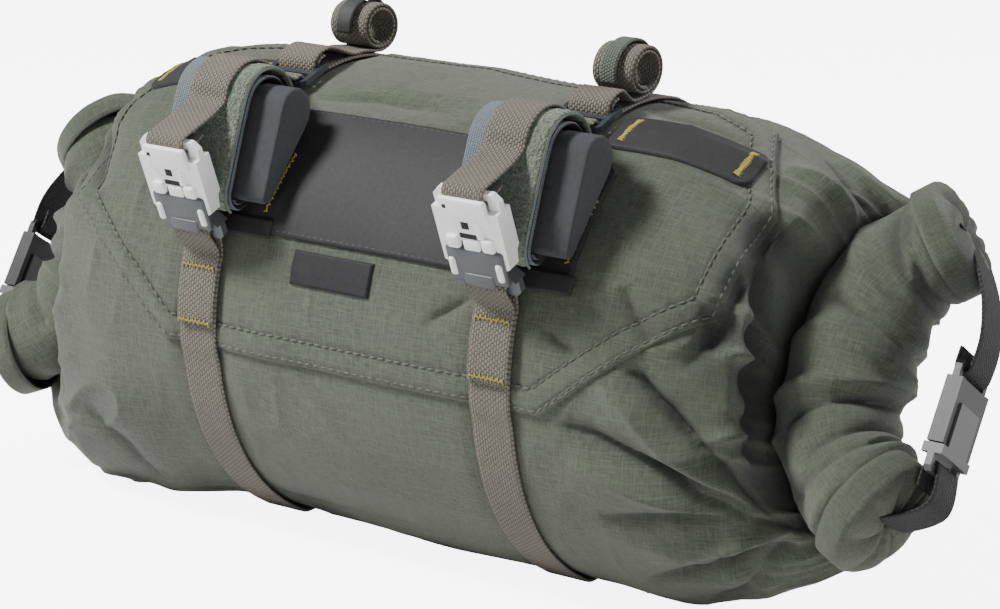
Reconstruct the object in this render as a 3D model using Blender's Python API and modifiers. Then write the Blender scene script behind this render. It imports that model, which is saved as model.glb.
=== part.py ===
# Bicycle handlebar bag: a soft roll-top bag, lying with its length along X and
# its front towards -Y. Lengths in metres, +Z up. Angles on the bag's section are
# in degrees: 0 at the front, 90 at the top, 180 at the back, -90 underneath.
import math

import bpy
import bmesh
from mathutils import Vector

COLLECTION = "handlebar_bag"

# Stuffed bag
HALF_DEPTH = 0.096
HALF_HEIGHT = 0.103
FLAT_DEPTH = 0.095
STRAIGHT_HALF = 0.100
SHOULDER_HALF = 0.174
SHOULDER_DROP = 0.018
SHOULDER_POWER = 2.5
BULGE_LEFT = 0.010
BULGE_RIGHT = 0.003
BULGE_ANGLE = -60.0
BULGE_SPREAD = 75.0
TUCK_LEFT = 0.010
TUCK_RIGHT = 0.044
TUCK_ANGLE = -122.0
TUCK_SPREAD = 64.0
COVER_EASE = 0.0008
CLOTH_WALL = 0.0012
COLUMNS = 32
GAP = 0.0003

# Rolled mouths: the mouth lies flat along a bow, and rolls up round that bow
MOUTH_TILT = 56.25
MOUTH_X = 0.197
MOUTHS = {
    # side: (sign of x, bow's shift across the mouth, shift along it, half length of the bow)
    "right": (1, 0.029, -0.001, 0.073),
    "left": (-1, 0.022, -0.012, 0.066),
}
STRAP_SHIFT = {"right": 0.0, "left": -0.013}
MOUTH_BEND_LOWER = 64.0
MOUTH_BEND_UPPER = 52.0
ROLL_RADIUS = 0.0245
ROLL_WIDE = 1.14
ROLL_PITCH = 0.0072
ROLL_TURNS = 1.75
ROLL_STEPS = 8
LAYER_THICK = 0.0050
NECK_LONG = 0.056
NECK_SHORT = 0.010
SHOULDER_REACH = 0.020

# Reinforcement panel: half width at each angle, as shares of PANEL_HALF
PANEL_HALF = 0.172
PANEL_THICK = 0.0010
PANEL_OUTLINE = (
    # angle, share
    (-3.0, 0.57),
    (28.0, 0.97),
    (62.0, 1.00),
    (91.0, 0.86),
    (104.0, 0.48),
)

# Coated label panel
LABEL_HALF = 0.106
LABEL_THICK = 0.0012
LABEL_OUTLINE = (
    # angle, share
    (26.0, 0.92),
    (30.0, 1.00),
    (57.0, 1.00),
    (61.0, 0.93),
)
SIDE_LABEL_X = -0.010
SIDE_LABEL_HALF = 0.021
SIDE_LABEL_ANGLES = (16.0, 24.0)
SIDE_LABEL_THICK = 0.0010

# Accessory tabs
TAB_X = 0.124
TAB_HALF = 0.033
TAB_ANGLE = 71.5
TAB_WIDTH = 0.024
TAB_THICK = 0.0016

# Webbing
STRAPS = {
    # side: middle of the strap along X, angle of its coiled tail
    "left": (-0.079, 100.0),
    "right": (0.075, 90.0),
}
STRAP_WIDTH = 0.020
STRAP_THICK = 0.0015
DOUBLED_FROM = 3.0
SEWN_BACK = 0.010
RIM_STEP = 3.0

# Magnetic buckles
BUCKLE_ANGLE = 24.0
BUCKLE_WIDTH = 0.032
BUCKLE_THICK = 0.0090
BUCKLE_UPPER = 0.024
BUCKLE_LOWER = 0.025
BUCKLE_BAR = 0.0030
BUCKLE_LEAN = 44.0
BUCKLE_STANDOFF = 0.0105

# Ladder locks
LOCK_ANGLE = 72.5
LOCK_WIDTH = 0.0262
LOCK_LENGTH = 0.0200
LOCK_BAR = 0.0026
LOCK_MIDDLE = 0.0075

# Rolled hook and loop straps
ROLL_ANGLE = 43.2
ROLL_STRAIGHT = 0.0195
ROLL_SETTLE = 0.0008
SPACER_HALF = 0.0100
SPACER_LOW = 0.0030
SPACER_OUT = 0.015
PAD_ANGLES = (25.0, 29.5)
PAD_THICK = 0.0020
HOOK_WIDTH = 0.038
HOOK_THICK = 0.0017
HOOK_PITCH = 0.0022
HOOK_TURNS = 1.5
PILE_THICK = 0.0018

# Webbing tail coils
COIL_MIDDLE = 90.0
COIL_RADIUS = 0.0125
COIL_PITCH = 0.0021
COIL_TURNS = 2.0
COIL_REST = 0.0002
KEEPER_THICK = 0.0014
KEEPER_WIDTH = 0.008

# Closure straps and side release buckles on the rolled ends
CLOSURE_WIDTH = 0.020
CLOSURE_THICK = 0.0014
CLASP_LENGTH = 0.046
CLASP_WIDTH = 0.027
CLASP_THICK = 0.0088
CLASP_SHIFT = -0.014
CLASP_CLEAR = 0.0015
CLOSURE_LEAD = 0.003
CLASP_SPLIT = 0.36
CLASP_BAR = 0.0030
CLASP_SLOT = 0.0044
CLASP_PRONG = 0.0042
CLASP_REACH = 0.0180

# Colours: base colour, roughness, metallic
MATERIALS = {
    "bag_cloth": ((0.115, 0.130, 0.105), 0.75, 0.0),
    "coated_cloth": ((0.055, 0.057, 0.060), 0.60, 0.0),
    "black_cloth": ((0.020, 0.020, 0.022), 0.70, 0.0),
    "webbing": ((0.150, 0.140, 0.120), 0.80, 0.0),
    "dark_webbing": ((0.022, 0.023, 0.024), 0.75, 0.0),
    "hook_tape": ((0.130, 0.155, 0.165), 0.85, 0.0),
    "loop_pile": ((0.160, 0.200, 0.150), 0.95, 0.0),
    "spacer_foam": ((0.075, 0.080, 0.085), 0.85, 0.0),
    "white_plastic": ((0.720, 0.710, 0.690), 0.45, 0.0),
    "grey_plastic": ((0.070, 0.076, 0.080), 0.40, 0.0),
    "lock_plastic": ((0.045, 0.055, 0.070), 0.35, 0.0),
    "clasp_plastic": ((0.018, 0.018, 0.020), 0.40, 0.0),
    "rubber": ((0.016, 0.018, 0.018), 0.60, 0.0),
}


def clearScene():
    for obj in list(bpy.data.objects):
        bpy.data.objects.remove(obj, do_unlink=True)
    for mesh in list(bpy.data.meshes):
        if mesh.users == 0:
            bpy.data.meshes.remove(mesh)


def makeMaterials():
    made = {}
    for name, (color, roughness, metallic) in MATERIALS.items():
        material = bpy.data.materials.new(name)
        material.use_nodes = True
        shader = material.node_tree.nodes["Principled BSDF"]
        shader.inputs["Base Color"].default_value = (*color, 1.0)
        shader.inputs["Roughness"].default_value = roughness
        shader.inputs["Metallic"].default_value = metallic
        material.diffuse_color = (*color, 1.0)
        made[name] = material
    return made


def addObject(name, mesh, material):
    obj = bpy.data.objects.new(name, mesh)
    obj.data.materials.append(MADE[material])
    PARTS.objects.link(obj)
    obj.parent = BASE
    return obj


def meshFrom(name, bm):
    bmesh.ops.remove_doubles(bm, verts=bm.verts, dist=0.000001)
    bmesh.ops.recalc_face_normals(bm, faces=bm.faces)
    mesh = bpy.data.meshes.new(name)
    bm.to_mesh(mesh)
    bm.free()
    return mesh


# Section geometry
def shoulderShare(x):
    beyond = (abs(x) - STRAIGHT_HALF) / (SHOULDER_HALF - STRAIGHT_HALF)
    return max(0.0, beyond) ** SHOULDER_POWER


def smoothStep(value):
    value = min(1.0, max(0.0, value))
    return value * value * (3.0 - 2.0 * value)


def endShare(x):
    """0 on the strapped middle, 1 once well past it."""
    return smoothStep((abs(x) - STRAIGHT_HALF) / (SHOULDER_HALF - STRAIGHT_HALF) * 2.0)


def skinPoint(x, angle, lift=0.0):
    """Point on the stuffed bag at x and angle, lifted off its surface."""
    turn = math.radians(angle)
    away = abs((angle - BULGE_ANGLE + 180.0) % 360.0 - 180.0)
    low = math.cos(math.radians(min(90.0, away * 90.0 / BULGE_SPREAD))) ** 2
    bulge = BULGE_LEFT if x < 0.0 else BULGE_RIGHT
    drop = SHOULDER_DROP * shoulderShare(x) * (1.0 - low * bulge / BULGE_LEFT * 0.8)
    scale = 1.0 + (bulge * low * endShare(x) - drop) / HALF_HEIGHT
    behind = abs((angle - TUCK_ANGLE + 180.0) % 360.0 - 180.0)
    tucked = math.cos(math.radians(min(90.0, behind * 90.0 / TUCK_SPREAD))) ** 2
    tuck = TUCK_LEFT if x < 0.0 else TUCK_RIGHT
    scale -= tuck * tucked * smoothStep((abs(x) - STRAIGHT_HALF) / (SHOULDER_HALF - STRAIGHT_HALF)) / HALF_HEIGHT
    y = -HALF_DEPTH * scale * math.cos(turn)
    z = HALF_HEIGHT * scale * math.sin(turn)
    normal = Vector((0.0, -math.cos(turn) / HALF_DEPTH, math.sin(turn) / HALF_HEIGHT)).normalized()
    if z < -FLAT_DEPTH:
        z = -FLAT_DEPTH
        normal = Vector((0.0, 0.0, -1.0))
    if lift > 0.0:
        lift += COVER_EASE * endShare(x)
    return Vector((x, y, z)) + normal * lift


def bodyAngles():
    return [-MOUTH_TILT + index * 360.0 / COLUMNS for index in range(COLUMNS)]


def rowsBetween(low, high, extra=()):
    """The bag's own section angles between two limits, with the limits and extra rows."""
    step = 360.0 / COLUMNS
    first = math.ceil((low + MOUTH_TILT) / step)
    rows = {round(low, 4), round(high, 4)}
    rows.update(round(angle, 4) for angle in extra if low <= angle <= high)
    angle = first * step - MOUTH_TILT
    while angle < high:
        rows.add(round(angle, 4))
        angle += step
    return sorted(rows)


def tableValue(table, angle):
    if angle <= table[0][0]:
        return table[0][1]
    for (low, start), (high, end) in zip(table, table[1:]):
        if angle <= high:
            return start + (end - start) * (angle - low) / (high - low)
    return table[-1][1]


# The bow along which a mouth lies, in the plane of X and the mouth's own direction
MOUTH_ALONG = Vector((0.0, math.cos(math.radians(MOUTH_TILT)), math.sin(math.radians(MOUTH_TILT))))
MOUTH_UP = Vector((0.0, -math.sin(math.radians(MOUTH_TILT)), math.cos(math.radians(MOUTH_TILT))))


def bowAngle(along, half):
    bend = MOUTH_BEND_UPPER if along > 0.0 else MOUTH_BEND_LOWER
    turn = math.radians(bend) * smoothStep(abs(along) / half)
    return math.copysign(turn, along)


def bowPoint(side, share):
    """Point on a mouth's bow at a share of its half length, and the bow's inward normal there."""
    sign, out, shift, half = MOUTHS[side]
    along = half * share
    steps = 24
    x = MOUTH_X
    across = 0.0
    for index in range(steps):
        turn = bowAngle(along * (index + 0.5) / steps, half)
        x += math.sin(abs(turn)) * abs(along) / steps
        across += math.cos(turn) * along / steps
    turn = bowAngle(along, half)
    point = Vector((x, 0.0, 0.0)) + MOUTH_ALONG * (across + shift) + MOUTH_UP * out
    inward = Vector((math.cos(turn), 0.0, 0.0)) - MOUTH_ALONG * math.sin(turn)
    return point, inward


def columnShare(index):
    half = COLUMNS // 2
    part = index / half if index <= half else 2.0 - index / half
    return 2.0 * part - 1.0


def stripSection(side, turn, inset):
    """Ring of the flattened mouth where the roll has turned by an angle in degrees."""
    radius = ROLL_RADIUS - LAYER_THICK / 2 - ROLL_PITCH * turn / 360.0
    phase = math.radians(turn - 90.0)
    half = COLUMNS // 2
    ring = []
    for index in range(COLUMNS):
        share = columnShare(index)
        height = 0.0
        if index % half == 0:
            share -= math.copysign(inset * 2.8 / MOUTHS[side][3], share)
        else:
            height = LAYER_THICK / 2 - inset
            height = -height if index < half else height
        point, inward = bowPoint(side, share)
        out = inward * math.cos(phase) * ROLL_WIDE + MOUTH_UP * math.sin(phase)
        ring.append(point + out * (radius + height))
    return ring


def neckPoint(start, end, inward, share, along):
    """Point of the cloth between the bag's shoulder and its flattened mouth."""
    slope = SHOULDER_DROP * SHOULDER_POWER / (SHOULDER_HALF - STRAIGHT_HALF)
    radial = Vector((0.0, start.y, start.z)).normalized()
    leave = (Vector((1.0, 0.0, 0.0)) - radial * slope).normalized()
    reach = NECK_SHORT + (NECK_LONG - NECK_SHORT) * (1.0 - along ** 2)
    first = start + leave * SHOULDER_REACH
    second = end - inward * reach
    keep = 1.0 - share
    return start * keep ** 3 + first * 3 * keep * keep * share + second * 3 * keep * share * share + end * share ** 3


def endSections(side):
    """Rings of one end, from just past the shoulder to the flattened mouth, towards +X."""
    sign = MOUTHS[side][0]
    shoulder = mirrored([[skinPoint(sign * SHOULDER_HALF, angle) for angle in bodyAngles()]], sign)[0]
    mouth = stripSection(side, 0.0, 0.0)
    rings = []
    for share in NECK_STATIONS:
        ring = []
        for index in range(COLUMNS):
            along = columnShare(index)
            inward = bowPoint(side, along)[1]
            ring.append(neckPoint(shoulder[index], mouth[index], inward, share, along))
        rings.append(ring)
    return rings


def insetRings(rings):
    """The cloth's inner face: each ring moved in by the wall along the surface normal."""
    half = COLUMNS // 2
    inner = []
    count = len(rings)
    for row, ring in enumerate(rings):
        before = rings[max(0, row - 1)]
        after = rings[min(count - 1, row + 1)]
        moved = []
        for index, point in enumerate(ring):
            lengthwise = after[index] - before[index]
            around = ring[(index + 1) % COLUMNS] - ring[index - 1]
            normal = lengthwise.cross(around).normalized()
            depth = CLOTH_WALL
            if index % half == 0:
                edge = max(0.0, 6 - min(row, count - 1 - row)) / 6.0
                depth *= 1.0 + 1.8 * edge
            moved.append(point - normal * depth)
        inner.append(moved)
    return inner


def loftShell(name, outer, inner, material):
    bm = bmesh.new()
    skins = []
    for rings in (outer, inner):
        skins.append([[bm.verts.new(point) for point in ring] for ring in rings])
    for rings in skins:
        for ring, following in zip(rings, rings[1:]):
            for index in range(COLUMNS):
                near = (index + 1) % COLUMNS
                bm.faces.new((ring[index], ring[near], following[near], following[index]))
    for row in (0, -1):
        for index in range(COLUMNS):
            near = (index + 1) % COLUMNS
            bm.faces.new((skins[0][row][index], skins[0][row][near], skins[1][row][near], skins[1][row][index]))
    return addObject(name, meshFrom(name, bm), material)


def mirrored(rings, sign=-1):
    return [[Vector((sign * point.x, point.y, point.z)) for point in ring] for ring in rings]


def makeBody():
    rise = SHOULDER_HALF - STRAIGHT_HALF
    beyond = [STRAIGHT_HALF / 2, STRAIGHT_HALF] + [STRAIGHT_HALF + rise * share for share in BODY_STATIONS]
    stations = [-x for x in reversed(beyond)] + [0.0] + beyond
    main = [[skinPoint(x, angle) for angle in bodyAngles()] for x in stations]
    left = list(reversed(mirrored(endSections("left"))))
    rings = left + main + endSections("right")
    inner = insetRings(rings)
    inner[0] = mirrored([stripSection("left", 0.0, CLOTH_WALL)])[0]
    inner[-1] = stripSection("right", 0.0, CLOTH_WALL)
    loftShell("bag_body", rings, inner, "bag_cloth")


def makeRolledMouth(side):
    steps = int(round(ROLL_TURNS * ROLL_STEPS))
    turns = [360.0 * step / ROLL_STEPS for step in range(steps + 1)]
    # The first ring starts just clear of the bag's own mouth
    turns[0] = math.degrees(GAP / ROLL_RADIUS) * 1.6
    sign = MOUTHS[side][0]
    outer = mirrored([stripSection(side, turn, 0.0) for turn in turns], sign)
    inner = mirrored([stripSection(side, turn, CLOTH_WALL) for turn in turns], sign)
    loftShell("rolled_mouth_" + side, outer, inner, "bag_cloth")


# Cloth panels laid on the bag
def layPanel(name, rows, widths, stations, center, lift, thick, material):
    """Panel on the bag's skin: widths gives each row's half width about the center."""
    bm = bmesh.new()
    grid = []
    for angle in rows:
        half = widths(angle)
        line = []
        for x in stations:
            held = min(center + half, max(center - half, x))
            line.append(bm.verts.new(skinPoint(held, angle, lift)))
        grid.append(line)
    for line, above in zip(grid, grid[1:]):
        for index in range(len(stations) - 1):
            bm.faces.new((line[index], line[index + 1], above[index + 1], above[index]))
    bmesh.ops.remove_doubles(bm, verts=bm.verts, dist=0.00001)
    bmesh.ops.dissolve_degenerate(bm, dist=0.00001, edges=bm.edges)
    mesh = bpy.data.meshes.new(name)
    bm.to_mesh(mesh)
    bm.free()
    obj = addObject(name, mesh, material)
    solid = obj.modifiers.new("thickness", "SOLIDIFY")
    solid.thickness = thick
    solid.offset = 1.0
    return obj


def stationsBetween(low, high):
    rise = SHOULDER_HALF - STRAIGHT_HALF
    known = [0.0, STRAIGHT_HALF / 2, STRAIGHT_HALF] + [STRAIGHT_HALF + rise * share for share in BODY_STATIONS]
    known += [-x for x in known]
    inside = {round(x, 6) for x in known if low + 0.002 < x < high - 0.002}
    return sorted(inside | {low, high})


def makePanels():
    half = 180.0 / COLUMNS
    between = [angle + half for angle in rowsBetween(PANEL_OUTLINE[0][0], PANEL_OUTLINE[-1][0])[1:-2]]
    slanted = [angle for angle in between if angle < PANEL_OUTLINE[1][0] or angle > PANEL_OUTLINE[3][0]]
    rows = rowsBetween(PANEL_OUTLINE[0][0], PANEL_OUTLINE[-1][0], slanted + [row[0] for row in PANEL_OUTLINE])
    stations = stationsBetween(-PANEL_HALF, PANEL_HALF)
    layPanel("reinforcement_panel", rows, lambda angle: PANEL_HALF * tableValue(PANEL_OUTLINE, angle),
             stations, 0.0, GAP, PANEL_THICK, "bag_cloth")
    lift = GAP + PANEL_THICK + GAP
    rows = rowsBetween(LABEL_OUTLINE[0][0], LABEL_OUTLINE[-1][0], [row[0] for row in LABEL_OUTLINE])
    layPanel("label_panel", rows, lambda angle: LABEL_HALF * tableValue(LABEL_OUTLINE, angle),
             stationsBetween(-LABEL_HALF, LABEL_HALF), 0.0, lift, LABEL_THICK, "coated_cloth")
    low, high = SIDE_LABEL_ANGLES
    layPanel("side_label", rowsBetween(low, high), lambda angle: SIDE_LABEL_HALF,
             [SIDE_LABEL_X - SIDE_LABEL_HALF, SIDE_LABEL_X + SIDE_LABEL_HALF], SIDE_LABEL_X, lift,
             SIDE_LABEL_THICK, "black_cloth")
    spread = math.degrees(TAB_WIDTH / 2 / HALF_HEIGHT)
    for side, center in (("left", -TAB_X), ("right", TAB_X)):
        rows = rowsBetween(TAB_ANGLE - spread, TAB_ANGLE + spread,
                           [TAB_ANGLE - spread * 0.6, TAB_ANGLE + spread * 0.6])
        layPanel("accessory_tab_" + side, rows,
                 lambda angle: TAB_HALF * (1.0 - 0.09 * (abs(angle - TAB_ANGLE) > spread * 0.8)),
                 stationsBetween(center - TAB_HALF, center + TAB_HALF), center, lift, TAB_THICK, "coated_cloth")


# Webbing: a path in the plane of Y and Z, thickened both ways and given its width along X
def offsetPath(path, shift):
    """Parallel path at a distance, to the left of its direction."""
    moved = []
    for index, point in enumerate(path):
        before = path[max(0, index - 1)]
        after = path[min(len(path) - 1, index + 1)]
        into = (point - before).normalized() if index else (after - point).normalized()
        out = (after - point).normalized() if index < len(path) - 1 else into
        mean = (into + out).normalized()
        normal = Vector((-mean.y, mean.x))
        stretch = 1.0 / max(0.5, mean.dot(into))
        moved.append(point + normal * shift * stretch)
    return moved


def ribbon(name, path, thick, center, width, material):
    """Closed solid along a flat path, in YZ, with its width along X."""
    one = offsetPath(path, thick / 2)
    two = offsetPath(path, -thick / 2)
    bm = bmesh.new()
    x = center - width / 2
    first = [bm.verts.new((x, point.x, point.y)) for point in one]
    second = [bm.verts.new((x, point.x, point.y)) for point in two]
    faces = []
    for index in range(len(path) - 1):
        faces.append(bm.faces.new((first[index], first[index + 1], second[index + 1], second[index])))
    grown = bmesh.ops.extrude_face_region(bm, geom=faces)
    verts = [item for item in grown["geom"] if isinstance(item, bmesh.types.BMVert)]
    bmesh.ops.translate(bm, verts=verts, vec=(width, 0.0, 0.0))
    return addObject(name, meshFrom(name, bm), material)


def flat(vector):
    return Vector((vector.y, vector.z))


def skinFlat(angle, lift):
    return flat(skinPoint(0.0, angle, lift))


def arcPath(center, radius, start, end, steps):
    points = []
    for step in range(steps + 1):
        turn = math.radians(start + (end - start) * step / steps)
        points.append(center + Vector((math.cos(turn), math.sin(turn))) * radius)
    return points


def frameAt(angle):
    """Outward and upward unit vectors, in YZ, on the bag's skin."""
    turn = math.radians(angle)
    out = Vector((-math.cos(turn) / HALF_DEPTH, math.sin(turn) / HALF_HEIGHT)).normalized()
    along = Vector((out.y, -out.x))
    return out, along


# Heights of the layers over the bag's skin
PANEL_TOP = GAP + PANEL_THICK
LABEL_TOP = PANEL_TOP + GAP + LABEL_THICK
STRAP_MID = PANEL_TOP + GAP + STRAP_THICK / 2
STRAP_BARE = GAP + STRAP_THICK / 2
LAYER_STEP = STRAP_THICK + GAP
BODY_STATIONS = (0.35, 0.65, 0.85, 1.0)
NECK_STATIONS = (0.26, 0.52, 0.77, 1.0)

# Places of the fittings, in YZ
def buckleFrame():
    """Lower bar, upper bar, outward and lengthwise directions of a magnetic buckle."""
    out, along = frameAt(BUCKLE_ANGLE)
    turn = math.radians(BUCKLE_LEAN)
    lean = Vector((along.x * math.cos(turn) + out.x * math.sin(turn), along.y * math.cos(turn) + out.y * math.sin(turn)))
    outward = Vector((-lean.y, lean.x))
    low = skinFlat(BUCKLE_ANGLE, BUCKLE_STANDOFF)
    length = BUCKLE_UPPER + BUCKLE_LOWER - BUCKLE_BAR * 1.5
    return low, low + lean * length, outward, lean


def rollWrap():
    """Thickness of the tape wound on a spacer."""
    return GAP + HOOK_THICK + HOOK_PITCH * HOOK_TURNS + GAP


def rollFrame():
    """Middles of a rolled strap's upper and lower bends, with its outward and lengthwise directions."""
    out, along = frameAt(ROLL_ANGLE)
    base = skinFlat(ROLL_ANGLE, LABEL_TOP + GAP + rollWrap() - ROLL_SETTLE)
    upper = base + along * ROLL_STRAIGHT + out * SPACER_HALF
    lower = base - along * ROLL_STRAIGHT + out * SPACER_LOW
    return upper, lower, out, along


def loopRadius(bar, thick):
    """Radius of webbing looped round a square bar, to its middle."""
    return (bar * 0.7072 + GAP + thick / 2) / math.cos(math.radians(15.0))


def lockFrame():
    out, along = frameAt(LOCK_ANGLE)
    height = STRAP_MID + loopRadius(LOCK_BAR, STRAP_THICK)
    return skinFlat(LOCK_ANGLE, height), out, along


def compressionPath():
    """Doubled front end, round the buckle's lower bar, under the bag and up to the ladder lock."""
    low, _, outward, lean = buckleFrame()
    loop = loopRadius(BUCKLE_BAR, STRAP_THICK)
    path = []
    rows = rowsBetween(DOUBLED_FROM, BUCKLE_ANGLE - 4.0)
    for angle in rows:
        path.append(skinFlat(angle, STRAP_MID + LAYER_STEP))
    path[-1] = skinFlat(rows[-1], STRAP_MID + LAYER_STEP + GAP * 3)
    heading = math.degrees(math.atan2(outward.y, outward.x))
    path += arcPath(low, loop, heading, heading - 180.0, 6)
    for angle in reversed(rows):
        path.append(skinFlat(angle, STRAP_MID))
    edge = PANEL_OUTLINE[0][0]
    path.append(skinFlat(edge - 0.6, STRAP_MID))
    path.append(skinFlat(edge - RIM_STEP, STRAP_BARE))
    behind = PANEL_OUTLINE[-1][0] - 360.0
    for angle in reversed(rowsBetween(behind + RIM_STEP, edge - RIM_STEP)[:-1]):
        path.append(skinFlat(angle, STRAP_BARE))
    path.append(skinFlat(behind + 0.6, STRAP_MID))
    center, out, along = lockFrame()
    rear = center + along * (LOCK_LENGTH / 2 - LOCK_BAR / 2)
    around = loopRadius(LOCK_BAR, STRAP_THICK)
    slanted = COIL_MIDDLE + 180.0 / COLUMNS
    for angle in reversed(rowsBetween(LOCK_ANGLE + 9.0, PANEL_OUTLINE[-1][0] - 2.0, [slanted])):
        path.append(skinFlat(angle, STRAP_MID))
    turn = math.degrees(math.atan2(-out.y, -out.x))
    path += arcPath(rear, around, turn, turn - 180.0, 6)
    path.append(rear + out * around + along * LOCK_BAR)
    return path


def ovalPath(growth, start, end):
    """Path round a rolled strap: 0 at its upper end, 90 outwards, 180 at its lower end."""
    upper, lower, out, along = rollFrame()

    def around(center, radius, angle):
        turn = math.radians(angle)
        return center + (along * math.cos(turn) + out * math.sin(turn)) * radius

    steps = int(round(abs(end - start) / 22.5))
    points = []
    for index in range(steps + 1):
        angle = start + (end - start) * index / steps
        place = angle % 360.0
        high = around(upper, SPACER_HALF + growth(angle), angle)
        low = around(lower, SPACER_LOW + growth(angle), angle)
        if abs(place - 112.5) < 1.0:
            points += [high, low] if end > start else [low, high]
        elif abs(place - 270.0) < 1.0:
            points += [low, high] if end > start else [high, low]
        else:
            points.append(high if place < 112.5 or place > 270.0 else low)
    return points


def upperStrapPath(coil):
    """From the buckle's upper bar over the rolled strap, through the ladder lock, to the coil."""
    _, high, outward, lean = buckleFrame()
    upper, lower, out, along = rollFrame()
    loop = loopRadius(BUCKLE_BAR, STRAP_THICK)
    top = SPACER_HALF + rollWrap() + GAP + PILE_THICK + GAP + STRAP_THICK / 2
    over = []
    for angle in (120.0, 98.0, 76.0, 54.0, 32.0, 15.0):
        turn = math.radians(angle)
        over.append(upper + (along * math.cos(turn) + out * math.sin(turn)) * top)
    toward = (over[0] - high).normalized()
    heading = math.degrees(math.atan2(toward.x, -toward.y))
    path = arcPath(high, loop, heading + 180.0, heading, 6)
    path.insert(0, path[0] + toward * SEWN_BACK)
    path += over
    lock, lockOut, lockAlong = lockFrame()
    weave = LOCK_BAR / 2 + GAP * 2 + STRAP_THICK / 2
    front = -(LOCK_LENGTH - LOCK_BAR) / 2
    middle = front + LOCK_MIDDLE
    rear = -front
    over = loopRadius(LOCK_BAR, STRAP_THICK) + STRAP_THICK + GAP
    steps = (
        # along the lock, height over its middle
        (front - LOCK_BAR * 0.4, weave),
        (front + LOCK_BAR * 0.8, weave),
        (middle - LOCK_BAR * 0.8, -weave),
        (middle + LOCK_BAR, -weave),
        (middle + LOCK_BAR * 1.5, weave * 0.8),
        (middle + LOCK_BAR * 2.4, over),
        (rear + LOCK_BAR * 2.4, over),
    )
    for shift, height in steps:
        path.append(lock + lockAlong * shift + lockOut * height)
    low = coil - math.degrees(COIL_RADIUS * 0.75 / HALF_HEIGHT)
    if low > COIL_MIDDLE + 1.0:
        path.append(skinFlat(COIL_MIDDLE, STRAP_MID + LAYER_STEP))
    path.append(skinFlat(low, STRAP_MID + LAYER_STEP + COIL_REST))
    return path


def coilPath(coil):
    out, along = frameAt(coil)
    center = skinFlat(coil, STRAP_MID + LAYER_STEP + COIL_REST + COIL_RADIUS)
    path = []
    steps = int(10 * COIL_TURNS)
    start = math.degrees(math.atan2(-out.y, -out.x))
    for index in range(steps + 1):
        turn = math.radians(start + 360.0 * COIL_TURNS * index / steps)
        radius = COIL_RADIUS - COIL_PITCH * COIL_TURNS * index / steps
        path.append(center + Vector((math.cos(turn), math.sin(turn))) * radius)
    return path


def makeStraps():
    for name, (x, coil) in STRAPS.items():
        ribbon("compression_strap_" + name, compressionPath(), STRAP_THICK, x, STRAP_WIDTH, "webbing")
        tail = upperStrapPath(coil) + coilPath(coil)
        ribbon("upper_strap_" + name, tail, STRAP_THICK, x, STRAP_WIDTH, "webbing")


def makeRolls():
    start = 180.0
    end = start + 360.0 * HOOK_TURNS

    def wound(angle):
        return GAP + HOOK_THICK / 2 + HOOK_PITCH * (angle - start) / 360.0

    def onTop(angle):
        return rollWrap() + PILE_THICK / 2

    for name, (x, coil) in STRAPS.items():
        ribbon("hook_strap_" + name, ovalPath(wound, start, end), HOOK_THICK, x, HOOK_WIDTH, "hook_tape")
        ribbon("loop_pile_" + name, ovalPath(onTop, 112.5, -67.5)[1:], PILE_THICK, x, HOOK_WIDTH, "loop_pile")
        low, high = PAD_ANGLES
        rows = [low + (high - low) * step / 2 for step in range(3)]
        pad = [skinFlat(angle, LABEL_TOP + GAP + PAD_THICK / 2) for angle in rows]
        ribbon("spacer_pad_" + name, pad, PAD_THICK, x + SPACER_OUT / 2, HOOK_WIDTH + SPACER_OUT, "black_cloth")
        makeSpacer("spacer_" + name, x)


def outlineSolid(name, outline, depth, place, material):
    """Flat outline with a depth; place turns its plane points into space."""
    bm = bmesh.new()
    face = bm.faces.new([bm.verts.new(place(u, v, -depth / 2)) for u, v in outline])
    grown = bmesh.ops.extrude_face_region(bm, geom=[face])
    verts = [item for item in grown["geom"] if isinstance(item, bmesh.types.BMVert)]
    shift = place(0.0, 0.0, depth / 2) - place(0.0, 0.0, -depth / 2)
    bmesh.ops.translate(bm, verts=verts, vec=shift)
    bmesh.ops.triangulate(bm, faces=bm.faces)
    return addObject(name, meshFrom(name, bm), material)


def makeSpacer(name, x):
    upper, lower, out, along = rollFrame()
    outline = []
    for center, radius, low, high in ((upper, SPACER_HALF, -90.0, 112.5), (lower, SPACER_LOW, 112.5, 270.0)):
        for step in range(8):
            turn = math.radians(low + (high - low) * step / 7)
            point = center + (along * math.cos(turn) + out * math.sin(turn)) * radius
            outline.append((point.x, point.y))
    length = HOOK_WIDTH + SPACER_OUT
    middle = x + SPACER_OUT / 2

    def place(u, v, w):
        return Vector((middle + w, u, v))

    outlineSolid(name, outline, length, place, "spacer_foam")


def placer(x, origin, lengthwise, outward):
    """Turns width, length and height of a fitting into space."""
    def place(u, v, w):
        point = origin + lengthwise * v + outward * w
        return Vector((x + u, point.x, point.y))
    return place


def frameOutline(name, outer, holes, depth, place, material, thin=None):
    """Plate with slots: the outer outline less the holes, thinned where a webbing bar is."""
    plate = outlineSolid(name, outer, depth, place, material)
    cuts = [(hole, depth * 3.0, 0.0) for hole in holes]
    if thin:
        outline, bar = thin
        cuts += [(outline, depth, (depth + bar) / 2), (outline, depth, -(depth + bar) / 2)]
    for number, (hole, deep, shift) in enumerate(cuts):
        def shifted(u, v, w, shift=shift):
            return place(u, v, w + shift)

        cutter = outlineSolid(name + "_cut" + str(number), hole, deep, shifted, material)
        PARTS.objects.unlink(cutter)
        CUTTERS.objects.link(cutter)
        cutter.hide_render = True
        cutter.display_type = "WIRE"
        cut = plate.modifiers.new("slot", "BOOLEAN")
        cut.operation = "DIFFERENCE"
        cut.solver = "EXACT"
        cut.object = cutter
    return plate


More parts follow.
